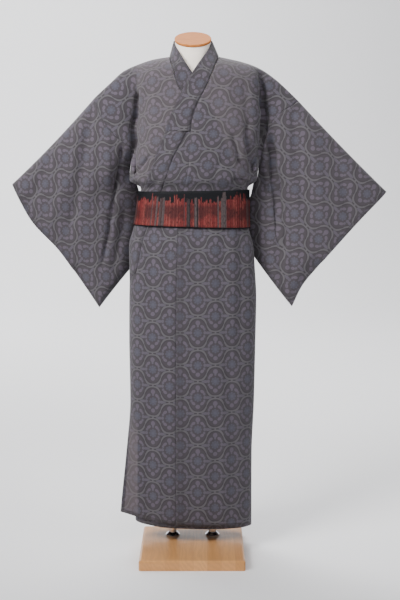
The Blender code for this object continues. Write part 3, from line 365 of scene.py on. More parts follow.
def cap_wood():
    material, tree, sockets = new_material("stained_cap", CAP_LIGHT, 0.38, (("Specular IOR Level", 0.05),))
    x, y, z = object_place(tree)
    wander = add_noise(join_place(times(x, 0.25), y, z), 40.0, 3.0)
    rings = sine_of(plus(times(y, CAP_RINGS), times(wander, CAP_WANDER)))
    fibre = add_noise(join_place(times(x, 0.04), y, z), 700.0)
    grain = times(times_plus(rings, 0.5, 0.5), fibre)
    feed(sockets["Base Color"], add_mix(grain, CAP_LIGHT, CAP_DARK))
    add_bump(grain, 0.2, 0.0003, sockets)
    return material


give_material("form", cream_jersey())
give_material("neck_cap", cap_wood())


# The robe's cloth: dark cotton in a plain weave, its all-over pattern of ogee cells woven in greys, blue-grey
# and mauve. Each cell holds a rosette in a wreath of leaves and round buds, and the cells' arches meet in
# short bars. Where one layer covers the cream torso it shows through.
MILLIMETRES = 1000.0
CELL_WIDTH = 107.0
CELL_HEIGHT = 100.0
KNOT_HALF = 3.9
LINE_HALF = 2.2
LINE_SOFT = 0.9
LINE_STEP = 0.9
CURVE_STEEPNESS = 0.108
CURVE_SLOPE = 2.1
ROSETTE_RADIUS = 12.6
ROSETTE_PETALS = 8.0
ROSETTE_RING = 7.4
GROUND = (0.0520, 0.0455, 0.0530)
GROUND_DEEP = (0.0310, 0.0270, 0.0315)
LINE_GREY = (0.1080, 0.1030, 0.1120)
ROSETTE_BLUE = (0.0800, 0.0800, 0.1110)
BUD_MAUVE = (0.1080, 0.0890, 0.1200)
LEAF_GREY = (0.0980, 0.0860, 0.1120)
# The cream torso seen through one layer; on the sleeves and the lone hanging panel the same tone is painted
# light from the paper behind
SHOW_THROUGH = (0.215, 0.175, 0.180)
SOFT_COTTON = (("Sheen Weight", 0.12), ("Sheen Roughness", 0.55), ("Specular IOR Level", 0.18))
COTTON_THREAD = 0.00055
# Width of the darker band along each edge of the cloth: the doubled cloth where it is turned or folded, with
# painted shade in the fold; the stitch runs at its inner side
HEM_FOLD_SHADE_WIDTH = 0.0110
FOLD_SOFT = 0.0012
STITCH_HALF = 0.0004
PRINT_WOBBLE = 0.0011

# The pattern's colours, each laid over the ones before it
PATTERN = (
    # mask, share, colour
    ("Leaf", 0.86, LEAF_GREY),
    ("Bud", 0.88, BUD_MAUVE),
    ("Rosette", 0.85, ROSETTE_BLUE),
    ("Line", 0.86, LINE_GREY),
)

# Ovals round a cell's middle, in millimetres; those at a side stand at both
CELL_OVALS = (
    # across, up, half width, half height, turn in degrees, at both sides, kind
    (0.0, 30.5, 7.2, 7.6, 0.0, False, "Bud"),
    (0.0, -28.6, 7.0, 6.6, 0.0, False, "Bud"),
    (0.0, 21.0, 3.4, 4.2, 0.0, False, "Leaf"),
    (13.6, 18.6, 7.0, 4.6, -38.0, True, "Bud"),
    (19.6, 11.0, 3.6, 4.6, 0.0, True, "Leaf"),
    (13.2, -18.4, 6.8, 4.6, 38.0, True, "Bud"),
    (19.4, -10.6, 3.6, 4.4, 0.0, True, "Leaf"),
    (21.2, 0.4, 4.4, 5.2, 0.0, True, "Leaf"),
    (31.0, 0.0, 7.8, 4.6, 0.0, True, "Leaf"),
    (38.0, 0.0, 4.6, 2.4, 0.0, True, "Leaf"),
)


def soft_step(start, end, value):
    """0 at the start and 1 at the end, smoothly."""
    low, high = (0.0, 1.0) if start < end else (1.0, 0.0)
    reach = {"From Min": min(start, end), "From Max": max(start, end), "To Min": low, "To Max": high}
    return new_node("MapRange", {"Value": value, **reach}, interpolation_type="SMOOTHSTEP")


def pick(chooser, first, second):
    """The second where the chooser is 1, the first where it is 0."""
    return times_plus(chooser, minus(second, first), first)


def from_repeat(value, period, shift=0.0):
    """The signed distance to the nearest repeat, with the repeats shifted."""
    moved = plus(value, period * 0.5 - shift)
    return minus(math_step("FLOORED_MODULO")(moved, period), period * 0.5)


def soft_oval(x, y, oval):
    """1 inside an oval, falling softly to 0 at its edge."""
    across, up, half_wide, half_high, turn, _, _ = oval
    cosine = math.cos(math.radians(turn))
    sine = math.sin(math.radians(turn))
    dx = minus(x, across)
    dy = minus(y, up)
    along = times_plus(dx, cosine / half_wide, times(dy, sine / half_wide))
    aside = times_plus(dx, -sine / half_high, times(dy, cosine / half_high))
    return soft_step(1.30, 0.62, times_plus(along, along, times(aside, aside)))


def add_ogee_line(x, y):
    """The cells' outline: its mask, the darker ground beside it, and which of the two columns a point is in.

    Folded into a quarter repeat, the curve rises from just off one knot to just off the next.
    """
    fold_x = absolute(from_repeat(x, CELL_WIDTH))
    fold_y = absolute(from_repeat(y, CELL_HEIGHT))
    upper = is_above(fold_x, CELL_WIDTH * 0.25)
    stepped = plus(fold_x, times_plus(upper, 2.0 * LINE_STEP, -LINE_STEP))
    phase = times(stepped, 2.0 * math.pi / CELL_WIDTH)
    wave = times_plus(math_step("COSINE")(phase), -0.5, 0.5)
    lean = sine_of(times(wave, 2.0 * math.pi))
    wave = times_plus(lean, -CURVE_STEEPNESS, wave)
    curve = times_plus(wave, CELL_HEIGHT * 0.5 - 2.0 * KNOT_HALF, KNOT_HALF)
    slope = times(math_step("POWER")(sine_of(phase), 1.5), CURVE_SLOPE)
    length = math_step("SQRT")(times_plus(slope, slope, 1.0))
    from_line = divided(minus(fold_y, curve), length)
    away = absolute(from_line)
    line = soft_step(LINE_HALF + LINE_SOFT, LINE_HALF - LINE_SOFT, away)
    beside = soft_step(LINE_HALF + 4.6, LINE_HALF + 0.6, away)
    return line, beside, is_above(from_line, 0.0)


def add_knot_bar(x, y):
    """The short upright bar that joins two arches at each knot."""
    bars = []
    for shift in (0.0, 0.5):
        aside = absolute(from_repeat(x, CELL_WIDTH, CELL_WIDTH * shift))
        above = absolute(from_repeat(y, CELL_HEIGHT, CELL_HEIGHT * shift))
        bars.append(times(soft_step(3.2, 2.0, aside), soft_step(KNOT_HALF + 3.0, KNOT_HALF + 1.8, above)))
    return largest(*bars)


def add_rosette(x, y):
    """A disc of soft petals with dark rays between them, a dark ring and a lighter eye."""
    distance = math_step("SQRT")(times_plus(x, x, times(y, y)))
    petals = math_step("COSINE")(times(math_step("ARCTAN2")(y, x), ROSETTE_PETALS))
    disc = soft_step(1.2, -1.8, minus(distance, plus(petals, ROSETTE_RADIUS)))
    ray = times(soft_step(-0.1, -0.9, petals), soft_step(5.0, 9.5, distance))
    ring = soft_step(1.6, 0.4, absolute(minus(distance, ROSETTE_RING)))
    eye = soft_step(5.5, 0.5, distance)
    dark = largest(ray, times(ring, 0.6))
    return times_plus(eye, 0.30, times(disc, times_plus(dark, -0.45, 0.84)))


def ogee_group():
    """The robe's pattern: a mask for each colour, from a place on the flat cloth in metres."""
    outputs = [(name, "Float") for name in ("Line", "Rosette", "Bud", "Leaf", "Edge")]
    group, given, result = new_group("ogee_cells", (("Place", "Vector"),), outputs)
    x, y = (times(place, MILLIMETRES) for place in split_place(given["Place"])[:2])
    line, beside, in_column = add_ogee_line(x, y)
    local_x = pick(in_column, from_repeat(x, CELL_WIDTH, CELL_WIDTH * 0.5), from_repeat(x, CELL_WIDTH))
    local_y = pick(in_column, from_repeat(y, CELL_HEIGHT), from_repeat(y, CELL_HEIGHT, CELL_HEIGHT * 0.5))
    side_x = absolute(local_x)
    masks = {"Edge": beside, "Rosette": add_rosette(local_x, local_y)}
    masks["Line"] = largest(line, add_knot_bar(x, y))
    for oval in CELL_OVALS:
        at_both, kind = oval[5:]
        spot = soft_oval(side_x if at_both else local_x, local_y, oval)
        masks[kind] = largest(masks[kind], spot) if kind in masks else spot
    for name, mask in masks.items():
        feed(result[name], mask)
    return group


ogee_cells = ogee_group()


def stretched(place, wide, high):
    return new_node("VectorMath", {0: place, 1: (wide, high, 1.0)}, operation="MULTIPLY")


def flat_place(tree):
    """The place on the flat cloth."""
    node = tree.nodes.new("ShaderNodeUVMap")
    node.uv_map = "flat_cloth"
    return node.outputs["UV"]


def mesh_value(tree, name):
    """A value that the mesh holds at each point."""
    node = tree.nodes.new("ShaderNodeAttribute")
    node.attribute_name = name
    return node.outputs["Fac"]


def yukata_cotton():
    """The patterned cotton, from the flat cloth's place and from what the mesh says of layers and edges, with
    painted shade along its folded edges.
    """
    material, tree, sockets = new_material("yukata_cotton", GROUND, 0.86, SOFT_COTTON)
    place = flat_place(tree)
    wobble = new_node("TexNoise", {"Vector": place, "Scale": 90.0}, "Color")
    nudged = new_node("VectorMath", {0: wobble, 1: (PRINT_WOBBLE, PRINT_WOBBLE, 0.0), 2: place},
                      operation="MULTIPLY_ADD")
    cells = tree.nodes.new("ShaderNodeGroup")
    cells.node_tree = ogee_cells
    feed(cells.inputs["Place"], nudged)
    thin = mesh_value(tree, "single_layer")
    from_edge = mesh_value(tree, "from_edge")
    height, gap = add_weave(place, COTTON_THREAD)
    cloud = add_noise(place, 9.0, 3.0)
    slub = add_noise(stretched(place, 1.0, 0.08), 1500.0)
    # fold: the band along every hem, cuff, sleeve fold and collar edge, darker for the doubled cloth and for
    # painted shade in the fold
    fold = soft_step(HEM_FOLD_SHADE_WIDTH + FOLD_SOFT, HEM_FOLD_SHADE_WIDTH - FOLD_SOFT, from_edge)
    stitch = soft_step(FOLD_SOFT, STITCH_HALF, absolute(minus(from_edge, HEM_FOLD_SHADE_WIDTH)))

    tone = add_mix(times(cells.outputs["Edge"], 0.70), GROUND, GROUND_DEEP)
    for mask, share, colour in PATTERN:
        tone = add_mix(times(cells.outputs[mask], share), tone, colour)
    # Lighter by the mesh's single_layer: the cream torso seen through, and on the sleeves and the lone panel
    # painted light from behind
    tone = add_mix(times(thin, 0.12), tone, SHOW_THROUGH)
    doubled = soft_step(-0.2, -0.8, thin)
    shades = (times(doubled, 0.34), times_plus(slub, 0.6, -0.16), times(gap, 0.25), times(cloud, 0.16),
              times(fold, 0.38), times(stitch, 0.5))
    for shade in shades:
        tone = add_mix(shade, tone, GROUND_DEEP)
    feed(sockets["Base Color"], tone)
    raised = times_plus(stitch, -1.5, times_plus(cells.outputs["Line"], 0.5, height))
    add_bump(raised, 0.35, 0.00025, sockets)
    return material


cotton = yukata_cotton()


# The two body lengths: each is one length of cloth about 36 cm wide, from the front hem up over the shoulder
# and down to the back hem, with the middle of the back sewn and the left front laid over the right. The sides
# are sewn below the sleeves. The cloth blouses over the obi and hangs in soft folds from the shoulders.
CLOTH = 0.0015
SEAM_GAP = 0.0003
HALF_GAP = SEAM_GAP * 0.5
MID_Y = 0.060
SECTION_POWER = 2.3
RIDGE_ROUND = 0.070
LIFT_COLLAR_UNDER = 0.0010
LIFT_OVER = 0.0042
LIFT_COLLAR_OVER = 0.0052
CHEST_ANGLE = math.radians(68.0)
SIDE_ANGLE = math.radians(96.0)
SIDE_SEAM_ANGLE = SEAM_GAP * 4.8
UNDER_EDGE_ANGLE = math.radians(72.0)
OVER_LIFT_START = math.radians(75.0)
OVER_LIFT_END = math.radians(93.0)
BACK_NECK_X = 0.055
BACK_NECK_STEP = 0.6
BACK_DROP_SHARE = 0.3
ARMHOLE_CREASE_WIDTH = 0.014
ARMHOLE_CREASE_FLOOR = 0.013
BACK_CREASE_SHARE = 0.6
BLOUSE_STEP = 0.17
BLOUSE_BLEND = 0.25
WAIST_Z = 1.070
HEM_MID_Z = 0.090
HEM_BLEND_Z = 0.340
HEM_BACK_Z = 0.0770
NAPE_DROP = 0.020
NAPE_POWER = 8
WING_SETTLE = 1.25
NEAR_SIDE = 0.035
FORM_MID_X = 0.0025
OBI_TOP = 1.1265

# Sections of the robe: height, half width to the photo's left and right, depth to the front and back
SECTION = (
    # z, left, right, front, back
    (0.070, 0.1800, 0.1845, 0.084, 0.086),
    (0.310, 0.1830, 0.1840, 0.086, 0.089),
    (0.470, 0.1870, 0.1900, 0.089, 0.092),
    (0.660, 0.1915, 0.1935, 0.092, 0.096),
    (0.800, 0.1900, 0.1955, 0.095, 0.101),
    (0.880, 0.1880, 0.1910, 0.097, 0.104),
    (0.956, 0.1890, 0.1850, 0.098, 0.104),
    (1.020, 0.1720, 0.1700, 0.093, 0.095),
    (1.070, 0.1640, 0.1690, 0.091, 0.091),
    (1.134, 0.1560, 0.1680, 0.093, 0.092),
    (1.158, 0.1910, 0.1960, 0.110, 0.108),
    (1.205, 0.1880, 0.2030, 0.116, 0.114),
    (1.250, 0.1860, 0.2120, 0.118, 0.116),
    (1.300, 0.1850, 0.2200, 0.117, 0.116),
    (1.350, 0.1840, 0.2260, 0.113, 0.115),
    (1.450, 0.1840, 0.2240, 0.098, 0.104),
    (1.535, 0.1840, 0.2160, 0.082, 0.092),
)

# The shoulder line
RIDGE = (
    # x, left, right
    (0.000, 1.5350, 1.5350),
    (0.070, 1.5250, 1.5270),
    (0.115, 1.5180, 1.5185),
    (0.165, 1.5020, 1.5060),
    (0.205, 1.4840, 1.4900),
    (0.250, 1.4450, 1.4600),
    (0.295, 1.4040, 1.4200),
    (0.320, 1.3800, 1.3960),
)

# The front half of a body length above the waist, from the waist to the shoulder line
BODY_RIGHT_ROWS = (
    # step, seam x, seam z, fold x, fold z, sleeve x, sleeve z, front depth, back depth, crease
    (0.00, 0.0380, 1.0700, -0.1500, 1.0700, -0.1690, 1.0700, -0.0100, 0.0100, 0.000),
    (0.10, 0.0300, 1.1250, -0.1450, 1.1250, -0.1620, 1.1250, -0.0100, 0.0100, 0.000),
    (0.17, 0.0230, 1.1580, -0.1700, 1.1580, -0.1920, 1.1580, -0.0100, 0.0100, 0.000),
    (0.30, 0.0150, 1.2066, -0.1740, 1.2060, -0.1870, 1.2050, 0.0020, 0.0240, 0.012),
    (0.42, 0.0125, 1.2500, -0.1725, 1.2500, -0.1845, 1.2486, 0.0260, 0.0330, 0.026),
    (0.52, 0.0090, 1.2950, -0.1710, 1.3000, -0.2047, 1.2693, 0.0390, 0.0390, 0.030),
    (0.62, 0.0060, 1.3280, -0.1690, 1.3450, -0.2316, 1.2901, 0.0410, 0.0400, 0.030),
    (0.75, -0.0128, 1.3850, -0.1670, 1.3900, -0.2600, 1.3250, 0.0370, 0.0360, 0.024),
    (0.88, -0.0420, 1.4400, -0.1655, 1.4500, -0.2840, 1.3720, 0.0280, 0.0270, 0.012),
    (1.00, -0.0690, 1.5255, -0.1660, 1.5017, -0.2953, 1.4040, 0.0220, 0.0220, 0.000),
)
BODY_LEFT_ROWS = (
    # step, seam x, seam z, fold x, fold z, sleeve x, sleeve z, front depth, back depth, crease
    (0.00, -0.0330, 1.0700, 0.1550, 1.0700, 0.1700, 1.0700, -0.0100, 0.0100, 0.000),
    (0.10, -0.0255, 1.1250, 0.1550, 1.1250, 0.1700, 1.1250, -0.0100, 0.0100, 0.000),
    (0.17, -0.0180, 1.1580, 0.1780, 1.1580, 0.1960, 1.1480, -0.0100, 0.0100, 0.000),
    (0.30, -0.0096, 1.2066, 0.1880, 1.2050, 0.2030, 1.1900, 0.0020, 0.0240, 0.012),
    (0.42, -0.0075, 1.2500, 0.1980, 1.2500, 0.2130, 1.2520, 0.0240, 0.0330, 0.016),
    (0.52, -0.0040, 1.2950, 0.2120, 1.2980, 0.2290, 1.3050, 0.0330, 0.0380, 0.019),
    (0.62, -0.0010, 1.3280, 0.2170, 1.3430, 0.2475, 1.3420, 0.0350, 0.0390, 0.020),
    (0.75, 0.0178, 1.3850, 0.2160, 1.3920, 0.2740, 1.3650, 0.0330, 0.0350, 0.020),
    (0.88, 0.0450, 1.4360, 0.2115, 1.4420, 0.3000, 1.3800, 0.0280, 0.0270, 0.014),
    (1.00, 0.0810, 1.5250, 0.2077, 1.4885, 0.3204, 1.3957, 0.0220, 0.0220, 0.000),
)

# The overlap panels' seams to the fronts, below the waist
PANEL_SEAM = (
    # z, over x, under x
    (0.070, -0.0512, 0.0560),
    (0.696, -0.0489, 0.0540),
    (1.014, -0.0420, 0.0470),
    (1.070, -0.0330, 0.0380),
)

# The hem's height, for the lower layer and the layer on top
HEM = (
    # x, under, over
    (-0.230, 0.0900, 0.1280),
    (-0.180, 0.0900, 0.1160),
    (-0.100, 0.0860, 0.1010),
    (0.000, 0.0830, 0.0930),
    (0.100, 0.0800, 0.0880),
    (0.190, 0.0760, 0.0770),
)

# The collar's half that lies on top, by the height of its sewn edge: beyond it the chest is one layer
COLLAR_OVER_ROWS = (
    # sewn z, free x, free z, free y where it leaves the chest, share on the chest
    (0.930, -0.2050, 0.930, 0.000, 1.0),
    (1.020, -0.2050, 1.020, 0.000, 1.0),
    (1.070, -0.1660, 1.070, 0.000, 1.0),
    (1.134, -0.1460, 1.134, 0.000, 1.0),
    (1.158, -0.1370, 1.158, 0.000, 1.0),
    (1.193, -0.1190, 1.193, 0.000, 1.0),
    (1.244, -0.1040, 1.244, 0.000, 1.0),
    (1.296, -0.0797, 1.296, 0.000, 1.0),
    (1.328, -0.0702, 1.330, 0.000, 1.0),
    (1.385, -0.0420, 1.395, 0.000, 1.0),
    (1.430, -0.0110, 1.452, -0.049, 0.6),
    (1.474, 0.0170, 1.498, -0.023, 0.0),
    (1.502, 0.0400, 1.532, 0.009, 0.0),
    (1.516, 0.0530, 1.553, 0.034, 0.0),
    (1.525, 0.0600, 1.572, 0.060, 0.0),
)

# Creases in the front, drawn on all its layers alike: a soft trough runs from the first point to the second.
# A depth below nothing is a ridge. The robe's back has its own, like them in number and size.
FRONT_CREASES = (
    # x, z, to x, to z, half width, depth
    (-0.1640, 1.4100, -0.1735, 1.3400, 0.0048, 0.0130),
    (-0.1735, 1.3400, -0.1770, 1.2650, 0.0060, 0.0200),
    (-0.1765, 1.2600, -0.1780, 1.2000, 0.0055, 0.0120),
    (-0.1720, 1.1850, -0.1274, 1.2245, 0.0042, 0.0110),
    (-0.1850, 1.1620, -0.1500, 1.1400, 0.0050, 0.0060),
    (-0.1500, 1.2350, -0.1430, 1.4100, 0.0120, 0.0050),
    (-0.1240, 1.2000, -0.1100, 1.4300, 0.0110, -0.0035),
    (-0.1180, 1.1420, -0.0700, 1.1980, 0.0070, 0.0040),
    (0.2075, 1.4650, 0.2160, 1.3800, 0.0080, 0.0200),
    (0.2160, 1.3800, 0.2200, 1.3000, 0.0085, 0.0240),
    (0.2120, 1.3000, 0.2020, 1.2350, 0.0060, 0.0130),
    (0.1620, 1.3200, 0.1680, 1.2500, 0.0085, 0.0150),
    (0.1680, 1.2500, 0.1830, 1.1900, 0.0080, 0.0100),
    (0.1500, 1.3050, 0.1620, 1.2500, 0.0080, -0.0050),
    (0.1231, 1.2850, 0.1400, 1.2150, 0.0058, 0.0100),
    (0.1400, 1.2150, 0.1850, 1.1650, 0.0070, 0.0090),
    (0.1212, 1.1605, 0.1500, 1.1585, 0.0040, 0.0080),
    (0.1500, 1.1585, 0.1939, 1.1300, 0.0050, 0.0090),
    (0.1500, 1.4400, 0.1750, 1.3300, 0.0130, 0.0045),
    (0.1050, 1.4300, 0.1250, 1.3200, 0.0130, -0.0030),
    (0.0600, 1.1500, 0.0850, 1.2150, 0.0090, 0.0035),
    (-0.0100, 1.1450, 0.0200, 1.1900, 0.0080, 0.0025),
    (-0.1300, 1.0050, -0.1180, 0.7600, 0.0150, 0.0040),
    (-0.0800, 1.0050, -0.0720, 0.8700, 0.0120, 0.0030),
    (0.0200, 1.0050, 0.0160, 0.8300, 0.0140, 0.0026),
    (0.0900, 1.0050, 0.0980, 0.7200, 0.0160, 0.0042),
    (0.1420, 1.0050, 0.1500, 0.6200, 0.0150, 0.0055),
    (0.1200, 0.6200, 0.1260, 0.1400, 0.0200, 0.0060),
    (0.0700, 0.4600, 0.0760, 0.1100, 0.0180, 0.0044),
    (-0.0100, 0.5200, -0.0060, 0.1200, 0.0200, 0.0036),
    (-0.1260, 0.5600, -0.1330, 0.1300, 0.0180, 0.0050),
)
BACK_CREASES = (
    # x, z, to x, to z, half width, depth
    (-0.1500, 1.2100, -0.1100, 1.4000, 0.0130, 0.0050),
    (-0.1250, 1.1450, -0.0800, 1.2000, 0.0090, 0.0040),
    (-0.0600, 1.1450, -0.0450, 1.2500, 0.0100, 0.0035),
    (0.1450, 1.2100, 0.1150, 1.3900, 0.0130, 0.0050),
    (0.1200, 1.1450, 0.0850, 1.2100, 0.0090, 0.0040),
    (0.0500, 1.1450, 0.0400, 1.2300, 0.0100, 0.0030),
    (0.1650, 1.1500, 0.1400, 1.1850, 0.0080, 0.0040),
    (-0.1300, 1.0050, -0.1350, 0.7200, 0.0150, 0.0036),
    (-0.0650, 1.0050, -0.0600, 0.8300, 0.0140, 0.0026),
    (0.0750, 1.0050, 0.0800, 0.8000, 0.0140, 0.0028),
    (0.1350, 1.0050, 0.1400, 0.6800, 0.0160, 0.0038),
    (0.1100, 0.5600, 0.1150, 0.1300, 0.0190, 0.0040),
    (-0.0900, 0.6000, -0.0950, 0.1300, 0.0190, 0.0042),
    (0.0300, 0.4400, 0.0330, 0.1100, 0.0180, 0.0028),
)

# How every crease runs: past its ends, fading, and swaying from side to side
CREASE_PAST = 0.3
CREASE_FADE = 0.45
CREASE_REACH = 3.0
CREASE_WAVE = 0.35
CREASE_WAVES = 5.0
CREASE_PHASE = 90.0

# Finer rows than the CAD solid has
FINE_CHEST_COLUMNS = 48
FINE_WING_COLUMNS = 24
FOLD_DENSITY = 1.35
SEAM_ALLOWANCE = 0.026
FINE_NECK_COLUMNS = 8
SKIRT_ROWS = 64
SKIRT_LOW_Z = 0.090
SKIRT_HIGH_Z = 1.045
BODY_ROWS = 64
PANEL_SHARE = 0.52
ALLOWANCE_SOFT = 0.004
LIFT_ENDS_ACROSS = 0.9
LIFT_ENDS_STEP = 0.90
LIFT_BLEND_STEP = 0.08
NAPE_THIN = 0.4
BACK_THIN = 0.75
ARM_X = 0.190
ARM_SOFT = 0.030
THIN_SOFT = 0.006
FINE_LEVELS = [
    SKIRT_LOW_Z + (SKIRT_HIGH_Z - SKIRT_LOW_Z) * row / (SKIRT_ROWS - 1)
    for row in range(SKIRT_ROWS)
]
FINE_STEPS = [row / BODY_ROWS for row in range(BODY_ROWS + 1)]

# Where the pattern lies on each length: a knot on the skirt, and on the chest the place and lean of a column
SKIRT_KNOT = (0.0177, 0.7511)
CHEST_PLACE = {
    # side: (across, down, lean in degrees, stretch)
    1: (0.1120, 0.0610, 9.5, 1.07),
    -1: (-0.0740, 0.0410, 4.0, 1.13),
}
WING_TURN = {1: math.radians(-39.5), -1: math.radians(37.1)}
WING_MIDDLE = (0.2000, 1.4000)
SHOULDER_LENGTH = 0.057


def mix(first, second, share):
    return first + (second - first) * share


def ease(value):
    value = min(max(value, 0.0), 1.0)
    return value * value * (3.0 - 2.0 * value)


def signed_power(value):
    return math.copysign(abs(value) ** (2.0 / SECTION_POWER), value)


def read(table, place, column):
    """Smooth reading of one column of a table, by the table's first column, without overshoot."""
    if place <= table[0][0]:
        return table[0][column]
    if place >= table[-1][0]:
        return table[-1][column]
    index = 0
    while table[index + 1][0] < place:
        index += 1

    def slope(k):
        return (table[k + 1][column] - table[k][column]) / (table[k + 1][0] - table[k][0])

    def tangent(k):
        if k == 0:
            return slope(0)
        if k == len(table) - 1:
            return slope(k - 1)
        before = slope(k - 1)
        after = slope(k)
        if before * after <= 0.0:
            return 0.0
        return 2.0 * before * after / (before + after)

    width = table[index + 1][0] - table[index][0]
    share = (place - table[index][0]) / width
    start = table[index][column]
    end = table[index + 1][column]
    cubic = share * share * (3.0 - 2.0 * share)
    leave = share * (1.0 - share) ** 2 * width * tangent(index)
    arrive = share * share * (share - 1.0) * width * tangent(index + 1)
    return mix(start, end, cubic) + leave + arrive


def half_width(z, side, lift=0.0):
    """The section's half width on the side that a sign gives."""
    return read(SECTION, z, 1 if side < 0 else 2) + lift


def ridge_z(x):
    return read(RIDGE, abs(x), 1 if x < 0 else 2)


def shoulder_round(drop):
    """Share of the full depth at this drop below the shoulder line."""
    share = 1.0 - min(max(drop, 0.0) / RIDGE_ROUND, 1.0)
    return math.sqrt(max(0.0, 1.0 - share * share))


def angle_of(x, z, lift=0.0):
    """Signed angle round the section at which the front reaches x."""
    share = min(abs(x) / half_width(z, x, lift), 1.0)
    return math.copysign(math.asin(share ** (SECTION_POWER / 2.0)), x)


def section_point(z, angle, lift=0.0):
    """A point of the robe's section; angle 0 is the front middle, positive towards the wearer's left."""
    x = half_width(z, angle, lift) * signed_power(math.sin(angle))
    cosine = signed_power(math.cos(angle))
    depth = read(SECTION, z, 3 if cosine > 0 else 4) + lift
    return Vector((x, MID_Y - depth * cosine, z))


def chest_sheet(rows, step, across, lift, back):
    """A point of a body length above the waist.

    across runs 0 to 1 from the front seam to the armhole fold and 1 to 2 on to the sleeve. At the back it
    starts at -1, the middle of the back.
    """
    side = 1 if rows[-1][5] > 0 else -1
    way = 1.0 if back else -1.0
    depth_column = 4 if back else 3
    seam_x, seam_z, fold_x, fold_z, sleeve_x, sleeve_z = (read(rows, step, column) for column in range(1, 7))
    edge_depth = read(rows, step, 8 if back else 7)
    crease = read(rows, step, 9) * (BACK_CREASE_SHARE if back else 1.0)
    level = min(fold_z, ridge_z(fold_x))
    fold_drop = ridge_z(fold_x) - fold_z
    if back:
        to_shoulder = ease((step - BACK_NECK_STEP) / (1.0 - BACK_NECK_STEP))
        seam_x = side * mix(BACK_NECK_X, abs(rows[-1][1]), to_shoulder)
        seam_drop = fold_drop + (ridge_z(seam_x) - ridge_z(fold_x)) * (1.0 - step) * BACK_DROP_SHARE
    else:
        seam_drop = ridge_z(seam_x) - seam_z
    seam_angle = angle_of(seam_x, level, lift)
    fold_angle = angle_of(fold_x, level, lift)
    straight = step * step

    def depth_at(x, z, angle):
        depth = (read(SECTION, z, depth_column) + lift) * signed_power(math.cos(angle))
        return depth * shoulder_round(ridge_z(x) - z)

    def chest_point(share):
        angle = mix(seam_angle, fold_angle, share)
        x = half_width(level, angle, lift) * signed_power(math.sin(angle))
        level_z = fold_z if back else mix(ridge_z(seam_x) - seam_drop, fold_z, share)
        z = mix(level_z, ridge_z(x) - mix(seam_drop, fold_drop, share), straight)
        depth = depth_at(x, z, angle)
        drawn = crease * math.exp(-((x - fold_x) / ARMHOLE_CREASE_WIDTH) ** 2)
        floor = min(depth, ARMHOLE_CREASE_FLOOR * shoulder_round(ridge_z(x) - z))
        return Vector((x, MID_Y + way * max(depth - drawn, floor), z))

    if across < 0.0:
        share = 1.0 + across
        x = mix(side * HALF_GAP, seam_x, share)
        drop = seam_drop + NAPE_DROP * (1.0 - share * share) * step ** NAPE_POWER
        z = mix(fold_z, ridge_z(x) - drop, straight)
        return Vector((x, MID_Y + depth_at(x, z, angle_of(x, level, lift)), z))
    if across <= 1.0:
        return chest_point(across)

    share = across - 1.0
    fold = chest_point(1.0)
    angle = mix(abs(fold_angle), math.pi - SIDE_ANGLE if back else SIDE_ANGLE, share)
    low_z = mix(fold_z, sleeve_z, share)
    low_depth = read(SECTION, low_z, depth_column if math.cos(angle) > 0 else 4) + lift
    low_y = MID_Y + way * low_depth * signed_power(math.cos(angle)) + way * HALF_GAP * ease(share * 4.0 - 3.0)
    low = Vector((side * half_width(low_z, side, lift) * signed_power(math.sin(angle)), low_y, low_z))
    x = mix(fold.x, sleeve_x, share)
    drop = mix(ridge_z(fold.x) - fold.z, ridge_z(sleeve_x) - sleeve_z, share)
    edge_y = MID_Y + way * edge_depth * shoulder_round(ridge_z(sleeve_x) - sleeve_z)
    high = Vector((x, mix(fold.y, edge_y, ease(share * WING_SETTLE)), ridge_z(x) - drop))
    return low.lerp(high, ease((step - BLOUSE_STEP) / BLOUSE_BLEND))


def hem_level(z, target):
    """Move a level towards the hem's own height, fully at the hem and not above the blend."""
    share = ease((HEM_BLEND_Z - z) / (HEM_BLEND_Z - HEM_MID_Z))
    return z + (target - HEM_MID_Z) * share


def skirt_point(level, angle, lift, hem_column):
    """A point of the skirt, with its level moved towards the hem of its layer."""
    place = section_point(level, angle, lift)
    return section_point(hem_level(level, read(HEM, place.x, hem_column)), angle, lift)


def over_lift(angle):
    """The top front's lift, falling to the inner layer's level at the side seam."""
    return LIFT_OVER * (1.0 - ease((angle - OVER_LIFT_START) / (OVER_LIFT_END - OVER_LIFT_START)))


class Sheet:
    """A sheet of cloth being laid out row by row: points, faces, flat places and what each point is like."""

    def __init__(self):
        self.points = []
        self.faces = []
        self.flat = []
        self.thin = []
        self.from_edge = []
        self.rows = []

    def add_row(self, points, thin=None, from_edge=None):
        count = len(points)
        self.rows.append(range(len(self.points), len(self.points) + count))
        self.points.extend(points)
        self.thin.extend(thin or [0.0] * count)
        self.from_edge.extend(from_edge or [1.0] * count)

    def join_rows(self, first, second, low, high, columns):
        """Faces between two rows over a range of columns, with each row's flat places."""
        below = self.rows[first]
        above = self.rows[second]
        for column in columns:
            after = column + 1
            self.faces.append((below[column], below[after], above[after], above[column]))
            self.flat.append((low[column], low[after], high[after], high[column]))

    def turn_over(self):
        """Make every face point the other way."""
        self.faces = [tuple(reversed(face)) for face in self.faces]
        self.flat = [tuple(reversed(places)) for places in self.flat]


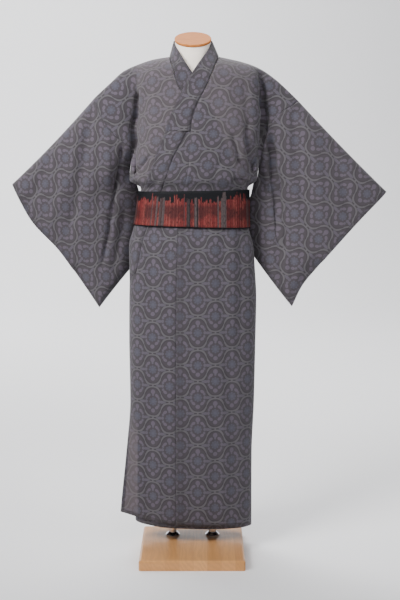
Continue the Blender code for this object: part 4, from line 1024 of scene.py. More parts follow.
def crease_depth(table, x, z):
    """How deep the creases press the cloth in at this place."""
    total = 0.0
    for x1, z1, x2, z2, half, depth in table:
        run_x = x2 - x1
        run_z = z2 - z1
        length = math.hypot(run_x, run_z)
        along = ((x - x1) * run_x + (z - z1) * run_z) / (length * length)
        if along < -CREASE_PAST or along > 1.0 + CREASE_PAST:
            continue
        aside = ((x - x1) * run_z - (z - z1) * run_x) / length
        aside += half * CREASE_WAVE * math.sin(along * CREASE_WAVES + x1 * CREASE_PHASE)
        if abs(aside) > CREASE_REACH * half:
            continue
        fade = ease((along + CREASE_PAST) / CREASE_FADE)
        fade *= ease((1.0 + CREASE_PAST - along) / CREASE_FADE)
        total += depth * math.exp(-(aside / half) ** 2) * fade
    return total


def press_creases(sheet, normals):
    """Move each point of the robe along its normal by the creases of its own side."""
    for index, point in enumerate(sheet.points):
        table = FRONT_CREASES if point.y < MID_Y else BACK_CREASES
        near_side = ease(abs(point.y - MID_Y) / NEAR_SIDE)
        sheet.points[index] = point - normals[index] * crease_depth(table, point.x, point.z) * near_side


def sheet_normals(sheet):
    """Normals of a sheet's points, weighted by the area of the faces round them, pointing out of the robe."""
    normals = [Vector((0.0, 0.0, 0.0)) for _ in sheet.points]
    for face in sheet.faces:
        first = sheet.points[face[2]] - sheet.points[face[0]]
        second = sheet.points[face[3]] - sheet.points[face[1]]
        for corner in face:
            normals[corner] += first.cross(second)
    return [normal.normalized() for normal in normals]


def cloth_object(name, sheet, thickness, material):
    """A thin shell from a sheet, with the flat cloth as its UV map."""
    mesh = smooth_mesh(name, [tuple(point) for point in sheet.points], sheet.faces)
    flat = mesh.uv_layers.new(name="flat_cloth")
    for polygon, places in zip(mesh.polygons, sheet.flat):
        for loop, place in zip(polygon.loop_indices, places):
            flat.data[loop].uv = place
    for attribute, values in (("single_layer", sheet.thin), ("from_edge", sheet.from_edge)):
        layer = mesh.attributes.new(attribute, "FLOAT", "POINT")
        layer.data.foreach_set("value", values)
    mesh.materials.append(material)
    piece = put_in_scene(name, mesh)
    wall = piece.modifiers.new("Cloth thickness", "SOLIDIFY")
    wall.thickness = thickness
    wall.offset = 0.0
    return piece


def arc_places(points, start_u, row_v):
    """Flat places along one row: its length so far, and a height for the row."""
    places = [(start_u, row_v)]
    for before, after in zip(points, points[1:]):
        places.append((places[-1][0] + (after - before).length, row_v))
    return places


def chest_places(points, side, back):
    """Flat places of a chest row: across by length from the middle, down from the shoulder line, leaning."""
    across, down, lean, stretch = CHEST_PLACE[side]
    slope = math.tan(math.radians(lean)) * side * (0.0 if back else 1.0)
    places = []
    run = points[0].x
    for index, point in enumerate(points):
        if index:
            step = point - points[index - 1]
            run += math.copysign(step.length, step.x)
        drop = max(ridge_z(point.x) - point.z, 0.0)
        length = drop + SHOULDER_LENGTH * shoulder_round(drop)
        way = 1.0 if back else -1.0
        places.append((run + length * slope - across, way * length * stretch + down))
    return places


def wing_places(points, side, back):
    """Flat places of the stretch beside the sleeve, measured along and square to the shoulder line."""
    turn = WING_TURN[side]
    places = []
    for point in points:
        x = point.x - side * WING_MIDDLE[0]
        z = point.z - WING_MIDDLE[1]
        along = x * math.cos(turn) + z * math.sin(turn)
        below = -x * math.sin(turn) + z * math.cos(turn)
        places.append((along, -below if back else below))
    return places


def beside_arm(point):
    """1 on the chest, falling to 0 beside the sleeve."""
    return ease((ARM_X - abs(point.x)) / ARM_SOFT)


def chest_thin(point, side):
    """1 where one layer of cloth lies over the torso, 0 where more do."""
    if point.z < OBI_TOP:
        return 0.0
    edge = read(COLLAR_OVER_ROWS, point.z, 1)
    inside = edge - point.x if side < 0 else point.x - (2.0 * FORM_MID_X - edge)
    return ease(inside / THIN_SOFT + 0.5) * beside_arm(point)


def body_length(rows, over):
    """One body length, front and back. Returns its sheet and the edge that the collar is sewn to."""
    side = 1 if rows[-1][5] > 0 else -1
    seam_column, hem_column = (1, 2) if over else (2, 1)
    chest = [1.0 - (1.0 - i / FINE_CHEST_COLUMNS) ** FOLD_DENSITY for i in range(FINE_CHEST_COLUMNS + 1)]
    wing = [1.0 + (i / FINE_WING_COLUMNS) ** FOLD_DENSITY for i in range(1, FINE_WING_COLUMNS + 1)]
    neck = [-1.0 + i / FINE_NECK_COLUMNS for i in range(FINE_NECK_COLUMNS)]
    sheet = Sheet()
    collar_edge = []
    row_places = []

    def add_skirt_row(points, thin, level, places):
        sheet.add_row(points, thin, [level - SKIRT_LOW_Z] * len(points))
        row_places.append((places, places))

    def place_chest_row(points, back):
        row_places.append((chest_places(points, side, back), wing_places(points, side, back)))

    def join_rows(start, end, waist_row):
        """Join rows in turn. Chest and wing keep their own flat places; the skirt's run on under the obi."""
        for first in range(start, end):
            low = row_places[first]
            high = row_places[first + 1]
            if first + 1 == waist_row:
                high = ([(u, v + WAIST_Z - SKIRT_HIGH_Z) for u, v in low[0]],) * 2
            last = len(sheet.rows[first]) - 1
            middle = last - FINE_WING_COLUMNS
            sheet.join_rows(first, first + 1, low[0], high[0], range(middle))
            sheet.join_rows(first, first + 1, low[1], high[1], range(middle, last))

    for level in FINE_LEVELS:
        seam_x = read(PANEL_SEAM, level, seam_column) + side * HALF_GAP
        start = angle_of(seam_x, level, LIFT_OVER if over else 0.0)
        points = []
        for across in chest + wing:
            angle = mix(start, side * CHEST_ANGLE, across)
            if across > 1.0:
                angle = side * mix(CHEST_ANGLE, SIDE_ANGLE - SIDE_SEAM_ANGLE, across - 1.0)
            lift = over_lift(max(angle * side, 0.0)) if over else 0.0
            points.append(skirt_point(level, angle, lift, hem_column))
        places = arc_places(points, seam_x * side - SKIRT_KNOT[0] * side, 0.0)
        places = [(u * side, point.z - SKIRT_KNOT[1]) for (u, _), point in zip(places, points)]
        doubled = [-ease((SEAM_ALLOWANCE - abs(point.x - seam_x)) / ALLOWANCE_SOFT) for point in points]
        add_skirt_row(points, doubled if over else None, level, places)
    for step in FINE_STEPS:
        points = []
        for across in chest + wing:
            lift = 0.0
            if over:
                lift = LIFT_OVER * (1.0 - ease((across - 1.0) / LIFT_ENDS_ACROSS))
                lift *= 1.0 - ease((step - LIFT_ENDS_STEP) / LIFT_BLEND_STEP)
            points.append(chest_sheet(rows, step, across, lift, False))
        if step == 1.0:
            points[-1].y = MID_Y
        points[0].x += side * HALF_GAP
        if step > PANEL_SHARE:
            collar_edge.append(points[0])
        sheet.add_row(points, [chest_thin(point, side) for point in points])
        place_chest_row(points, False)
    join_rows(0, len(sheet.rows) - 1, SKIRT_ROWS)

    ridge = sheet.rows[-1]
    back_start = len(sheet.rows)
    top = [chest_sheet(rows, 1.0, across, 0.0, True) for across in neck]
    collar_edge += reversed(top)
    sheet.add_row(top, [NAPE_THIN] * len(top))
    sheet.rows[-1] = list(sheet.rows[-1]) + list(ridge)
    place_chest_row([sheet.points[index] for index in sheet.rows[-1]], True)
    for step in reversed(FINE_STEPS[:-1]):
        points = [chest_sheet(rows, step, across, 0.0, True) for across in neck + chest + wing]
        sheet.add_row(points, [BACK_THIN * beside_arm(point) for point in points])
        place_chest_row(points, True)
    waist_row = len(sheet.rows)
    for level in reversed(FINE_LEVELS):
        z = hem_level(level, HEM_BACK_Z)
        middle_angle = abs(angle_of(side * HALF_GAP, z))
        neck_angle = abs(angle_of(side * BACK_NECK_X, z))
        points = []
        for across in neck + chest + wing:
            if across < 0.0:
                angle = mix(middle_angle, neck_angle, 1.0 + across)
            elif across <= 1.0:
                angle = mix(neck_angle, CHEST_ANGLE, across)
            else:
                angle = mix(CHEST_ANGLE, math.pi - SIDE_ANGLE - SIDE_SEAM_ANGLE, across - 1.0)
            points.append(section_point(z, side * (math.pi - angle)))
        places = [(u * side, -z) for u, _ in arc_places(points, 0.0, 0.0)]
        add_skirt_row(points, None, level, places)
    join_rows(back_start, len(sheet.rows) - 1, waist_row)
    if side < 0:
        sheet.turn_over()
    return sheet, collar_edge


def finish_cloth(name, sheet):
    """Press the creases in and make the shell."""
    press_creases(sheet, sheet_normals(sheet))
    return cloth_object(name, sheet, CLOTH, cotton)


right_length, right_edge = body_length(BODY_RIGHT_ROWS, False)
left_length, left_edge = body_length(BODY_LEFT_ROWS, True)
for name, sheet in (("body_right", right_length), ("body_left", left_length)):
    piece = finish_cloth(name + "_cloth", sheet)
    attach(piece, "root")
    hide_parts(name)


# The two overlap panels: half-width lengths sewn to the front edges, cut away above the waist along the slant
# where the collar is sewn on. The left one lies on top, and its free edge swings forward and out at the hem.
PANEL_TIP_Z = 1.3110
PANEL_TIP_OVER_X = -0.0026
PANEL_TIP_UNDER_X = 0.0077
COLLAR_END_LOW = 0.8400
COLLAR_END_HIGH = 0.8780
FINE_PANEL_COLUMNS = 40
PAST_UNDER_X = -0.1680
# The top panel's lightening where it hangs alone: painted light from the bright paper behind
HANGING_PAINTED_BACKLIGHT = 2.4
SINGLE_BELOW_Z = 0.46
SINGLE_FADE = 0.12
SIDE_HEM = 0.009
SIDE_HEM_SOFT = 0.003
LOWER_HEM = 0.012
HEM_SOFT = 0.004
FINE_COLLAR_COLUMNS = 8
COLLAR_END_ROWS = [
    COLLAR_END_LOW + (COLLAR_END_HIGH - COLLAR_END_LOW) * row / FINE_COLLAR_COLUMNS
    for row in range(FINE_COLLAR_COLUMNS + 1)
]
PANEL_PLACE = {True: (0.0345, 0.7350), False: (0.0360, 0.7160)}

# How far the top layer's free edge swings out at the photo's left, and forward
FREE_EDGE = (
    # z, out, forward
    (0.090, 0.0400, 0.045),
    (0.310, 0.0190, 0.026),
    (0.470, 0.0025, 0.008),
    (0.600, 0.0000, 0.000),
)

# Outer edge of the overlap panel above the skirt, where the collar is sewn on
PANEL_EDGE = (
    # z, distance from the middle
    (0.878, 0.1697),
    (0.921, 0.1591),
    (0.949, 0.1544),
    (0.998, 0.1418),
    (1.070, 0.1130),
    (1.143, 0.0838),
    (1.215, 0.0587),
    (1.253, 0.0392),
    (1.277, 0.0262),
    (1.320, 0.0030),
)


def overlap_panel(over):
    """One overlap panel, from the hem up to its tip. Returns its sheet and the edge sewn to the collar."""
    side = -1 if over else 1
    seam_column, hem_column = (1, 2) if over else (2, 1)
    lift = LIFT_OVER if over else 0.0
    rows = BODY_LEFT_ROWS if over else BODY_RIGHT_ROWS
    free_angle = math.radians(90.0) if over else UNDER_EDGE_ANGLE
    sheet = Sheet()
    row_places = []

    def sewn_angle(level):
        edge_x = read(PANEL_EDGE, level, 1) + (0.0 if over else 2.0 * FORM_MID_X)
        return min(abs(angle_of(side * edge_x, level, lift)), free_angle)

    def panel_points(level, seam_x):
        start = angle_of(seam_x, level, lift)
        to_sewn = min(max((level - COLLAR_END_LOW) / (COLLAR_END_HIGH - COLLAR_END_LOW), 0.0), 1.0)
        end = side * mix(free_angle, sewn_angle(max(level, COLLAR_END_HIGH)), to_sewn)
        points = []
        for column in range(FINE_PANEL_COLUMNS + 1):
            share = column / FINE_PANEL_COLUMNS
            place = skirt_point(level, mix(start, end, share), lift, hem_column)
            if over:
                plain_x = place.x
                place.x -= read(FREE_EDGE, level, 1) * share ** 3
                place.y -= read(FREE_EDGE, level, 2) * share ** 3
                place.z += hem_level(level, read(HEM, place.x, hem_column))
                place.z -= hem_level(level, read(HEM, plain_x, hem_column))
            points.append(place)
        return points

    def single_layer(level, point, to_free):
        """More than 1 where the top panel hangs alone, past the layer under it and inside its hems: painted
        light from behind.
        """
        past_under = ease((PAST_UNDER_X - point.x) / HEM_SOFT) * ease((SINGLE_BELOW_Z - level) / SINGLE_FADE)
        inside_hem = ease((to_free - SIDE_HEM) / SIDE_HEM_SOFT)
        inside_hem *= ease((level - SKIRT_LOW_Z - LOWER_HEM) / HEM_SOFT)
        return HANGING_PAINTED_BACKLIGHT * past_under * inside_hem if over else 0.0

    def add_panel_row(level, seam_x):
        seam_x += side * HALF_GAP
        points = panel_points(level, seam_x)
        runs = [u for u, _ in arc_places(points, 0.0, 0.0)]
        thin = [single_layer(level, point, runs[-1] - run) for point, run in zip(points, runs)]
        frees = [runs[-1] - run if level < COLLAR_END_LOW else 1.0 for run in runs]
        sheet.add_row(points, thin, [min(level - SKIRT_LOW_Z, free) for free in frees])
        if level > WAIST_Z:
            row_places.append(chest_places(points, -side, False))
        else:
            place_u, place_v = PANEL_PLACE[over]
            row_places.append([(run * side - place_u, point.z - place_v) for run, point in zip(runs, points)])

    for level in sorted(set(FINE_LEVELS + COLLAR_END_ROWS)):
        add_panel_row(level, read(PANEL_SEAM, level, seam_column))
    for step in FINE_STEPS:
        if step <= PANEL_SHARE:
            add_panel_row(read(rows, step, 2), read(rows, step, 1))
    add_panel_row(PANEL_TIP_Z, PANEL_TIP_OVER_X if over else PANEL_TIP_UNDER_X)
    for row in range(len(sheet.rows) - 1):
        sheet.join_rows(row, row + 1, row_places[row], row_places[row + 1], range(FINE_PANEL_COLUMNS))
    if side < 0:
        sheet.turn_over()
    ends = [sheet.points[row[-1]] for row in sheet.rows]
    return sheet, [point for point in ends if point.z >= COLLAR_END_LOW - SEAM_GAP]


right_panel, right_panel_edge = overlap_panel(False)
left_panel, left_panel_edge = overlap_panel(True)
for name, sheet in (("okumi_right", right_panel), ("okumi_left", left_panel)):
    piece = finish_cloth(name + "_cloth", sheet)
    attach(piece, "root")
    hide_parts(name)


# The collar: one long strip folded double along its free edge, sewn up the top front, round the back of the
# neck and down the front beneath, left over right. It stands up round the neck and lies flat on the chest.
COLLAR_SET_OFF = 0.0005
NECK_TOP_RADIUS = 0.0575
NAPE_TOP_BACK = 0.0585
NAPE_TOP_Z = 1.584
NAPE_SET_IN = 0.0020
NAPE_SET_UP = 0.0022
COLLAR_LEAVES_Z = 1.430
COLLAR_LEAVES_LENGTH = 0.050
COLLAR_SET_IN = 0.0016
COLLAR_SET_UP = 0.0020
COLLAR_PLACE = (0.0200, 0.0300)
FREE_EDGE_OFF = 0.004

# The collar's half beneath, by the height of its sewn edge
COLLAR_UNDER_ROWS = (
    # sewn z, free x, free z, free y where it leaves the chest, share on the chest
    (0.930, 0.2050, 0.930, 0.000, 1.0),
    (1.020, 0.2050, 1.020, 0.000, 1.0),
    (1.070, 0.1660, 1.070, 0.000, 1.0),
    (1.134, 0.1500, 1.134, 0.000, 1.0),
    (1.158, 0.1420, 1.158, 0.000, 1.0),
    (1.193, 0.1240, 1.193, 0.000, 1.0),
    (1.244, 0.1090, 1.244, 0.000, 1.0),
    (1.296, 0.0847, 1.296, 0.000, 1.0),
    (1.328, 0.0752, 1.330, 0.000, 1.0),
    (1.385, 0.0470, 1.395, 0.000, 1.0),
    (1.430, 0.0150, 1.450, -0.036, 0.6),
    (1.468, -0.0120, 1.493, -0.021, 0.0),
    (1.498, -0.0340, 1.530, 0.009, 0.0),
    (1.516, -0.0480, 1.553, 0.034, 0.0),
    (1.525, -0.0550, 1.572, 0.060, 0.0),
)


def inward_from(sewn):
    """The way from a point of the neckline to the middle of the neck."""
    return Vector((FORM_MID_X - sewn.x, MID_Y - sewn.y, 0.0)).normalized()


def collar_line(table, sewn, lift):
    """One line across the collar, from the edge it is sewn to, to its free edge."""
    free_x, free_z, free_y, on_chest = (read(table, sewn.z, column) for column in (1, 2, 3, 4))
    free = Vector((free_x, free_y, free_z))
    free_angle = min(angle_of(free_x, free_z, lift), UNDER_EDGE_ANGLE)
    sewn_angle = angle_of(sewn.x, sewn.z, lift)
    to_neck = ease((sewn.z - COLLAR_LEAVES_Z) / COLLAR_LEAVES_LENGTH)
    start = sewn + (inward_from(sewn) * COLLAR_SET_IN + Vector((0.0, 0.0, COLLAR_SET_UP))) * to_neck
    line = []
    for column in range(1, FINE_COLLAR_COLUMNS + 1):
        share = column / FINE_COLLAR_COLUMNS
        here = section_point(mix(sewn.z, free_z, share), mix(sewn_angle, free_angle, share), lift)
        here.y = MID_Y - (MID_Y - here.y) * shoulder_round(ridge_z(here.x) - here.z)
        line.append(start.lerp(free, share).lerp(here, on_chest))
    first = start + (line[0] - start).normalized() * COLLAR_SET_OFF * (1.0 - to_neck)
    return [first] + line


def collar_band(over_edge, under_edge, nape):
    """The whole collar, from its end on top, round the nape and down to its end beneath."""
    sheet = Sheet()
    ends = FINE_COLLAR_COLUMNS + 1
    up = Vector((0.0, 0.0, COLLAR_SET_OFF))
    lines = [[point + up for point in reversed(over_edge[:ends])]]
    lines += [collar_line(COLLAR_OVER_ROWS, point, LIFT_COLLAR_OVER) for point in over_edge[ends:]]
    for index, sewn in enumerate(nape):
        turn = math.pi * (index + 1) / (len(nape) + 1)
        start = sewn + inward_from(sewn) * NAPE_SET_IN + Vector((0.0, 0.0, NAPE_SET_UP))
        free_x = FORM_MID_X + NECK_TOP_RADIUS * math.cos(turn)
        free_y = MID_Y + NAPE_TOP_BACK * math.sin(turn)
        free = Vector((free_x, free_y, mix(COLLAR_OVER_ROWS[-1][2], NAPE_TOP_Z, math.sin(turn))))
        lines.append([start.lerp(free, column / FINE_COLLAR_COLUMNS) for column in range(ends)])
    first_under = [point for point in under_edge if point.z >= COLLAR_UNDER_ROWS[0][0] - SEAM_GAP]
    lines += [collar_line(COLLAR_UNDER_ROWS, point, LIFT_COLLAR_UNDER) for point in reversed(first_under)]
    run = 0.0
    row_places = []
    for index, points in enumerate(lines):
        if index:
            run += (points[ends // 2] - lines[index - 1][ends // 2]).length
        across = [u for u, _ in arc_places(points, 0.0, 0.0)]
        row_places.append([(u - COLLAR_PLACE[0], run - COLLAR_PLACE[1]) for u in across])
        sheet.add_row(points, None, [min(u, across[-1] - u + FREE_EDGE_OFF) for u in across])
    for row in range(len(lines) - 1):
        sheet.join_rows(row, row + 1, row_places[row], row_places[row + 1], range(FINE_COLLAR_COLUMNS))
    sheet.turn_over()
    return sheet


sewn_over = left_panel_edge + left_edge[:-FINE_NECK_COLUMNS]
sewn_under = right_panel_edge + right_edge[:-FINE_NECK_COLUMNS]
nape = left_edge[-FINE_NECK_COLUMNS:] + list(reversed(right_edge[-FINE_NECK_COLUMNS:-1]))
collar = finish_cloth("collar_cloth", collar_band(sewn_over, sewn_under, nape))
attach(collar, "root")
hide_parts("collar")


# The sleeves: each is one length folded along its bottom, about 36 cm wide and 48 cm deep, set on at the
# shoulder by its upper half only. Below the hand opening the cuff is sewn shut.
SLEEVE_RIGHT = {
    "side": -1,
    "cuff_top": (-0.549, 1.145),
    "tip": (-0.289, 0.770),
    "inner_corner": (-0.160, 0.925),
    "cuff_points": ((0.25, -0.491, 1.036), (0.50, -0.409, 0.946),
                    (0.70, -0.362, 0.880), (0.86, -0.318, 0.815)),
    "top_sag": 0.007,
    "bottom_sag": -0.004,
    "hang_points": ((0.10, -0.1790, 0.0820, 1.160), (0.22, -0.1640, 0.1000, 1.118),
                    (0.42, -0.1610, 0.1120, 1.080), (0.62, -0.1605, 0.1190, 1.030),
                    (0.82, -0.1605, 0.1280, 0.975)),
    "corner_y": 0.136,
    "stop": 0.70,
    "turn": 45.6,
    "place": (0.0386, 0.0531),
    "stretch": 1.18,
}
SLEEVE_LEFT = {
    "side": 1,
    "cuff_top": (0.593, 1.122),
    "tip": (0.309, 0.773),
    "inner_corner": (0.160, 0.970),
    "cuff_points": ((0.25, 0.509, 1.034), (0.50, 0.428, 0.943), (0.66, 0.385, 0.893), (0.84, 0.338, 0.834)),
    "top_sag": 0.004,
    "bottom_sag": 0.004,
    "hang_points": ((0.20, 0.1800, 0.0900, 1.110), (0.42, 0.1640, 0.1090, 1.082),
                    (0.62, 0.1615, 0.1180, 1.045), (0.82, 0.1610, 0.1270, 1.005)),
    "corner_y": 0.133,
    "stop": 0.63,
    "turn": -46.6,
    "place": (0.0264, -0.0115),
    "stretch": 1.0,
}
SLEEVE_PINCH = 0.0022
SLEEVE_PINCH_SET_OFF = 0.0026
SLEEVE_PINCH_STEPS = 0.35
SLEEVE_TOP_Y = 0.058
CUFF_Y = 0.050
CUFF_DEPTH = 0.019
CUFF_LOW_DEPTH = 0.010
MIDDLE_DEPTH = 0.014
SLEEVE_ROUND = 0.10
SLEEVE_BOTTOM_ROUND = 0.07
SLEEVE_TIP_DROP = 0.003
CUFF_SEWN_LENGTH = 0.14
CUFF_STOP_LENGTH = 0.05
CUFF_STOP_START = 0.8
SLEEVE_FOLD_START = 0.08
SLEEVE_FOLD_LIMIT = 0.55
SLEEVE_CLOTH_WIDTH = 0.36
SLEEVE_CLOTH_DEPTH = 0.46
SLEEVE_BACK_SHARE = 0.6
FORWARD_POWER = 2.2
HOLD_TOP = 0.12
HOLD_BOTTOM = 0.08
FADE_IN_STATIONS = 6.0
FADE_OUT_STATIONS = 5.0
FOLD_AT_CUFF = 0.25
SLEEVE_STATIONS = 84
# Painted light from the bright paper behind, showing through the sleeves' cloth
SLEEVE_PAINTED_BACKLIGHT = 0.25
FINE_HANG_ROWS = 26

# The deep fold in the photo's right sleeve, from shoulder to bottom
SLEEVE_FOLD = (
    # z, x, depth, half width
    (0.800, 0.292, 0.004, 0.012),
    (0.900, 0.270, 0.010, 0.012),
    (1.037, 0.2523, 0.018, 0.011),
    (1.150, 0.2400, 0.024, 0.010),
    (1.249, 0.2289, 0.028, 0.010),
    (1.310, 0.2230, 0.012, 0.010),
    (1.345, 0.2180, 0.000, 0.010),
)

# Soft folds in the sleeves' fronts, as on the body: most run down from the shoulder, steeper than the sleeve
SLEEVE_CREASES = (
    # x, z, to x, to z, half width, depth
    (-0.1983, 1.3400, -0.2110, 1.2482, 0.0048, 0.0110),
    (-0.2110, 1.2482, -0.2316, 1.1292, 0.0050, 0.0120),
    (-0.2316, 1.1292, -0.2729, 0.9214, 0.0050, 0.0130),
    (-0.2400, 1.3500, -0.2620, 1.1400, 0.0140, -0.0060),
    (-0.3000, 1.3400, -0.3700, 1.0300, 0.0150, 0.0070),
    (-0.3500, 1.2600, -0.4300, 1.0100, 0.0180, -0.0050),
    (-0.4300, 1.2300, -0.5000, 1.0800, 0.0150, 0.0050),
    (-0.2100, 1.0600, -0.2350, 0.9000, 0.0110, 0.0060),
    (0.2300, 1.3300, 0.2421, 1.2334, 0.0120, 0.0130),
    (0.2421, 1.2334, 0.2610, 1.1262, 0.0115, 0.0130),
    (0.2610, 1.1262, 0.2807, 0.9487, 0.0110, 0.0130),
    (0.2200, 1.2600, 0.2400, 1.1300, 0.0100, -0.0110),
    (0.2400, 1.1300, 0.2580, 0.9600, 0.0100, -0.0110),
    (0.3000, 1.3600, 0.3450, 1.0600, 0.0160, 0.0070),
    (0.3500, 1.3000, 0.4100, 1.0200, 0.0170, -0.0050),
    (0.4200, 1.2500, 0.4900, 1.0500, 0.0160, 0.0060),
    (0.2850, 1.1500, 0.3100, 0.8600, 0.0120, 0.0070),
)


def sleeve_ring(rows, sleeve):
    """The sleeve's inner edge, from the shoulder line down: middle point, half depth, share of the way."""
    ring = []
    for step in reversed(FINE_STEPS):
        if step < BLOUSE_STEP:
            break
        front = chest_sheet(rows, step, 2.0, 0.0, False)
        back = chest_sheet(rows, step, 2.0, 0.0, True)
        middle = (front + back) * 0.5
        depth = (back.y - front.y) * 0.5
        off = 1.0 - ease((step - BLOUSE_STEP) / SLEEVE_PINCH_STEPS)
        middle.x += sleeve["side"] * SLEEVE_PINCH_SET_OFF * off
        ring.append((middle, mix(depth, max(depth, SLEEVE_PINCH), off)))
    corner_x, corner_z = sleeve["inner_corner"]
    path = ((0.0, *ring[-1][0]), *sleeve["hang_points"], (1.0, corner_x, sleeve["corner_y"], corner_z))
    for index in range(1, FINE_HANG_ROWS + 1):
        share = index / FINE_HANG_ROWS
        ring.append((Vector([read(path, share, column) for column in (1, 2, 3)]), SLEEVE_PINCH))
    lengths = [0.0]
    for (before, _), (after, _) in zip(ring, ring[1:]):
        lengths.append(lengths[-1] + math.hypot(after.x - before.x, after.z - before.z))
    return [(middle, depth, length / lengths[-1]) for (middle, depth), length in zip(ring, lengths)]


def sleeve_point(sleeve, ring_row, along, back):
    """A point of a sleeve, along it from the armhole (0) to the cuff (1)."""
    middle, ring_depth, down = ring_row
    cuff = ((0.0, *sleeve["cuff_top"]), *sleeve["cuff_points"], (1.0, *sleeve["tip"]))
    bow = 4.0 * along * (1.0 - along)
    x = mix(middle.x, read(cuff, down, 1), along)
    z = mix(middle.z, read(cuff, down, 2), along) - mix(sleeve["top_sag"], sleeve["bottom_sag"], down) * bow
    away = 1.0 - (1.0 - along) ** 2
    y = mix(middle.y, mix(SLEEVE_TOP_Y, CUFF_Y, ease(down * 2.0)), 1.0 - (1.0 - along) ** FORWARD_POWER)
    rounding = math.sqrt(max(0.0, 1.0 - (1.0 - min(down / SLEEVE_ROUND, 1.0)) ** 2))
    open_depth = rounding * mix(CUFF_DEPTH, CUFF_LOW_DEPTH, ease(down))
    depth = ring_depth * (1.0 - away) + open_depth * away
    depth += MIDDLE_DEPTH * bow * rounding * (1.0 - 0.5 * down)
    near_cuff = ease((along - 1.0 + CUFF_SEWN_LENGTH) / CUFF_SEWN_LENGTH)
    below_stop = ease((down - sleeve["stop"]) / CUFF_STOP_LENGTH + CUFF_STOP_START)
    depth = mix(depth, SLEEVE_PINCH, near_cuff * below_stop)
    into_bottom = (down - 1.0 + SLEEVE_BOTTOM_ROUND) / SLEEVE_BOTTOM_ROUND
    if into_bottom > 0.0:
        depth = max(depth * math.sqrt(max(0.0, 1.0 - into_bottom ** 2)), SLEEVE_PINCH)
    if down == 0.0:
        depth = 0.0
    if back:
        return Vector((x, y + depth, z))
    drawn = 0.0
    if sleeve["side"] > 0:
        offset = (x - read(SLEEVE_FOLD, z, 1)) / read(SLEEVE_FOLD, z, 3)
        drawn = read(SLEEVE_FOLD, z, 2) * math.exp(-offset * offset) * ease(along / SLEEVE_FOLD_START)
    return Vector((x, y - depth + min(drawn, SLEEVE_FOLD_LIMIT * 2.0 * depth), z))


def sleeve_tube(rows, sleeve):
    """A sleeve: a tube round its length, open at the armhole and the cuff."""
    side = sleeve["side"]
    ring = sleeve_ring(rows, sleeve)
    origin = ring[0][0]
    turn = math.radians(sleeve["turn"])
    place_u, place_v = sleeve["place"]
    count = len(ring) * 2
    sheet = Sheet()
    flat_rows = []
    for station in range(SLEEVE_STATIONS + 1):
        along = station / SLEEVE_STATIONS
        front = [sleeve_point(sleeve, row, along, False) for row in ring]
        back = [sleeve_point(sleeve, row, along, True) for row in ring]
        tip = (front[-1] + back[-1]) * 0.5
        down = (tip - (front[-2] + back[-2]) * 0.5).normalized()
        loop = front + [tip + down * SLEEVE_TIP_DROP] + list(reversed(back[1:]))
        places = []
        from_edge = []
        for index, point in enumerate(loop):
            x = (point.x - origin.x) * sleeve["stretch"]
            z = point.z - origin.z
            u = x * math.cos(turn) + z * math.sin(turn)
            v = -x * math.sin(turn) + z * math.cos(turn)
            places.append((u - side * place_u, v + place_v))
            row = ring[min(index, count - index, len(ring) - 1)]
            from_edge.append(min((1.0 - along) * SLEEVE_CLOTH_WIDTH, (1.0 - row[2]) * SLEEVE_CLOTH_DEPTH))
        # Every point of the sleeve carries the painted light from behind
        sheet.add_row(loop, [SLEEVE_PAINTED_BACKLIGHT] * count, from_edge)
        flat_rows.append(places)
    for index in sheet.rows[0]:
        into = (sheet.points[index + count] - sheet.points[index]).normalized()
        sheet.points[index] += into * SEAM_GAP
    for station in range(SLEEVE_STATIONS):
        for index in range(count):
            after = (index + 1) % count
            corners = ((station, index), (station, after), (station + 1, after), (station + 1, index))
            turned = -1.0 if index >= len(ring) or after > len(ring) else 1.0
            places = [flat_rows[row][column] for row, column in corners]
            sheet.faces.append(tuple(sheet.rows[row][column] for row, column in corners))
            sheet.flat.append(tuple((u, turned * v) for u, v in places))
    if side < 0:
        sheet.turn_over()
    return sheet


def press_sleeve(sheet):
    """Lay the soft folds in the front and, more weakly, in the back, fading towards the seams."""
    normals = sheet_normals(sheet)
    width = len(sheet.rows[0])
    for station, row in enumerate(sheet.rows):
        inside = ease(station / FADE_IN_STATIONS)
        inside *= ease((SLEEVE_STATIONS - station) / FADE_OUT_STATIONS + FOLD_AT_CUFF)
        for column, index in enumerate(row):
            share = min(column, width - column) / (width * 0.5)
            hold = ease(share / HOLD_TOP) * ease((1.0 - share) / HOLD_BOTTOM)
            amount = 1.0 if column < width * 0.5 else SLEEVE_BACK_SHARE
            point = sheet.points[index]
            depth = crease_depth(SLEEVE_CREASES, point.x, point.z) * inside * hold * amount
            sheet.points[index] = point - normals[index] * depth


for name, rows, sizes in (("sleeve_right", BODY_RIGHT_ROWS, SLEEVE_RIGHT),
                          ("sleeve_left", BODY_LEFT_ROWS, SLEEVE_LEFT)):
    sheet = sleeve_tube(rows, sizes)
    press_sleeve(sheet)
    piece = cloth_object(name + "_cloth", sheet, CLOTH, cotton)
    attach(piece, "root")
    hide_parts(name)


# The obi: a stiff band about 11 cm wide, wound round the waist over every layer. It is woven near black along
# its top, which breaks up downwards into ragged upright streaks of red, salmon and brown among grey ones.
OBI_CLOTH = 0.0020
OBI_BOTTOM = 1.017
OBI_COLUMNS = 220
OBI_LEVELS = 14
OBI_BLACK = (0.0060, 0.0065, 0.0080)
OBI_GREY = (0.066, 0.050, 0.051)
OBI_RED = (0.128, 0.0200, 0.0195)
OBI_SALMON = (0.215, 0.060, 0.048)
OBI_BROWN = (0.034, 0.0110, 0.0115)
OBI_STREAK = 0.0058
OBI_THREAD = 0.0006
OBI_RIBS = 5200.0
OBI_REDS = ((0.0, OBI_BROWN), (0.25, OBI_RED), (0.70, OBI_RED), (0.95, OBI_SALMON))
OBI_GREYS = ((0.0, OBI_BROWN), (0.3, OBI_GREY), (0.7, OBI_GREY), (1.0, OBI_BLACK))
STREAK_TOP = 0.1020
STREAK_SOFT = 0.0012
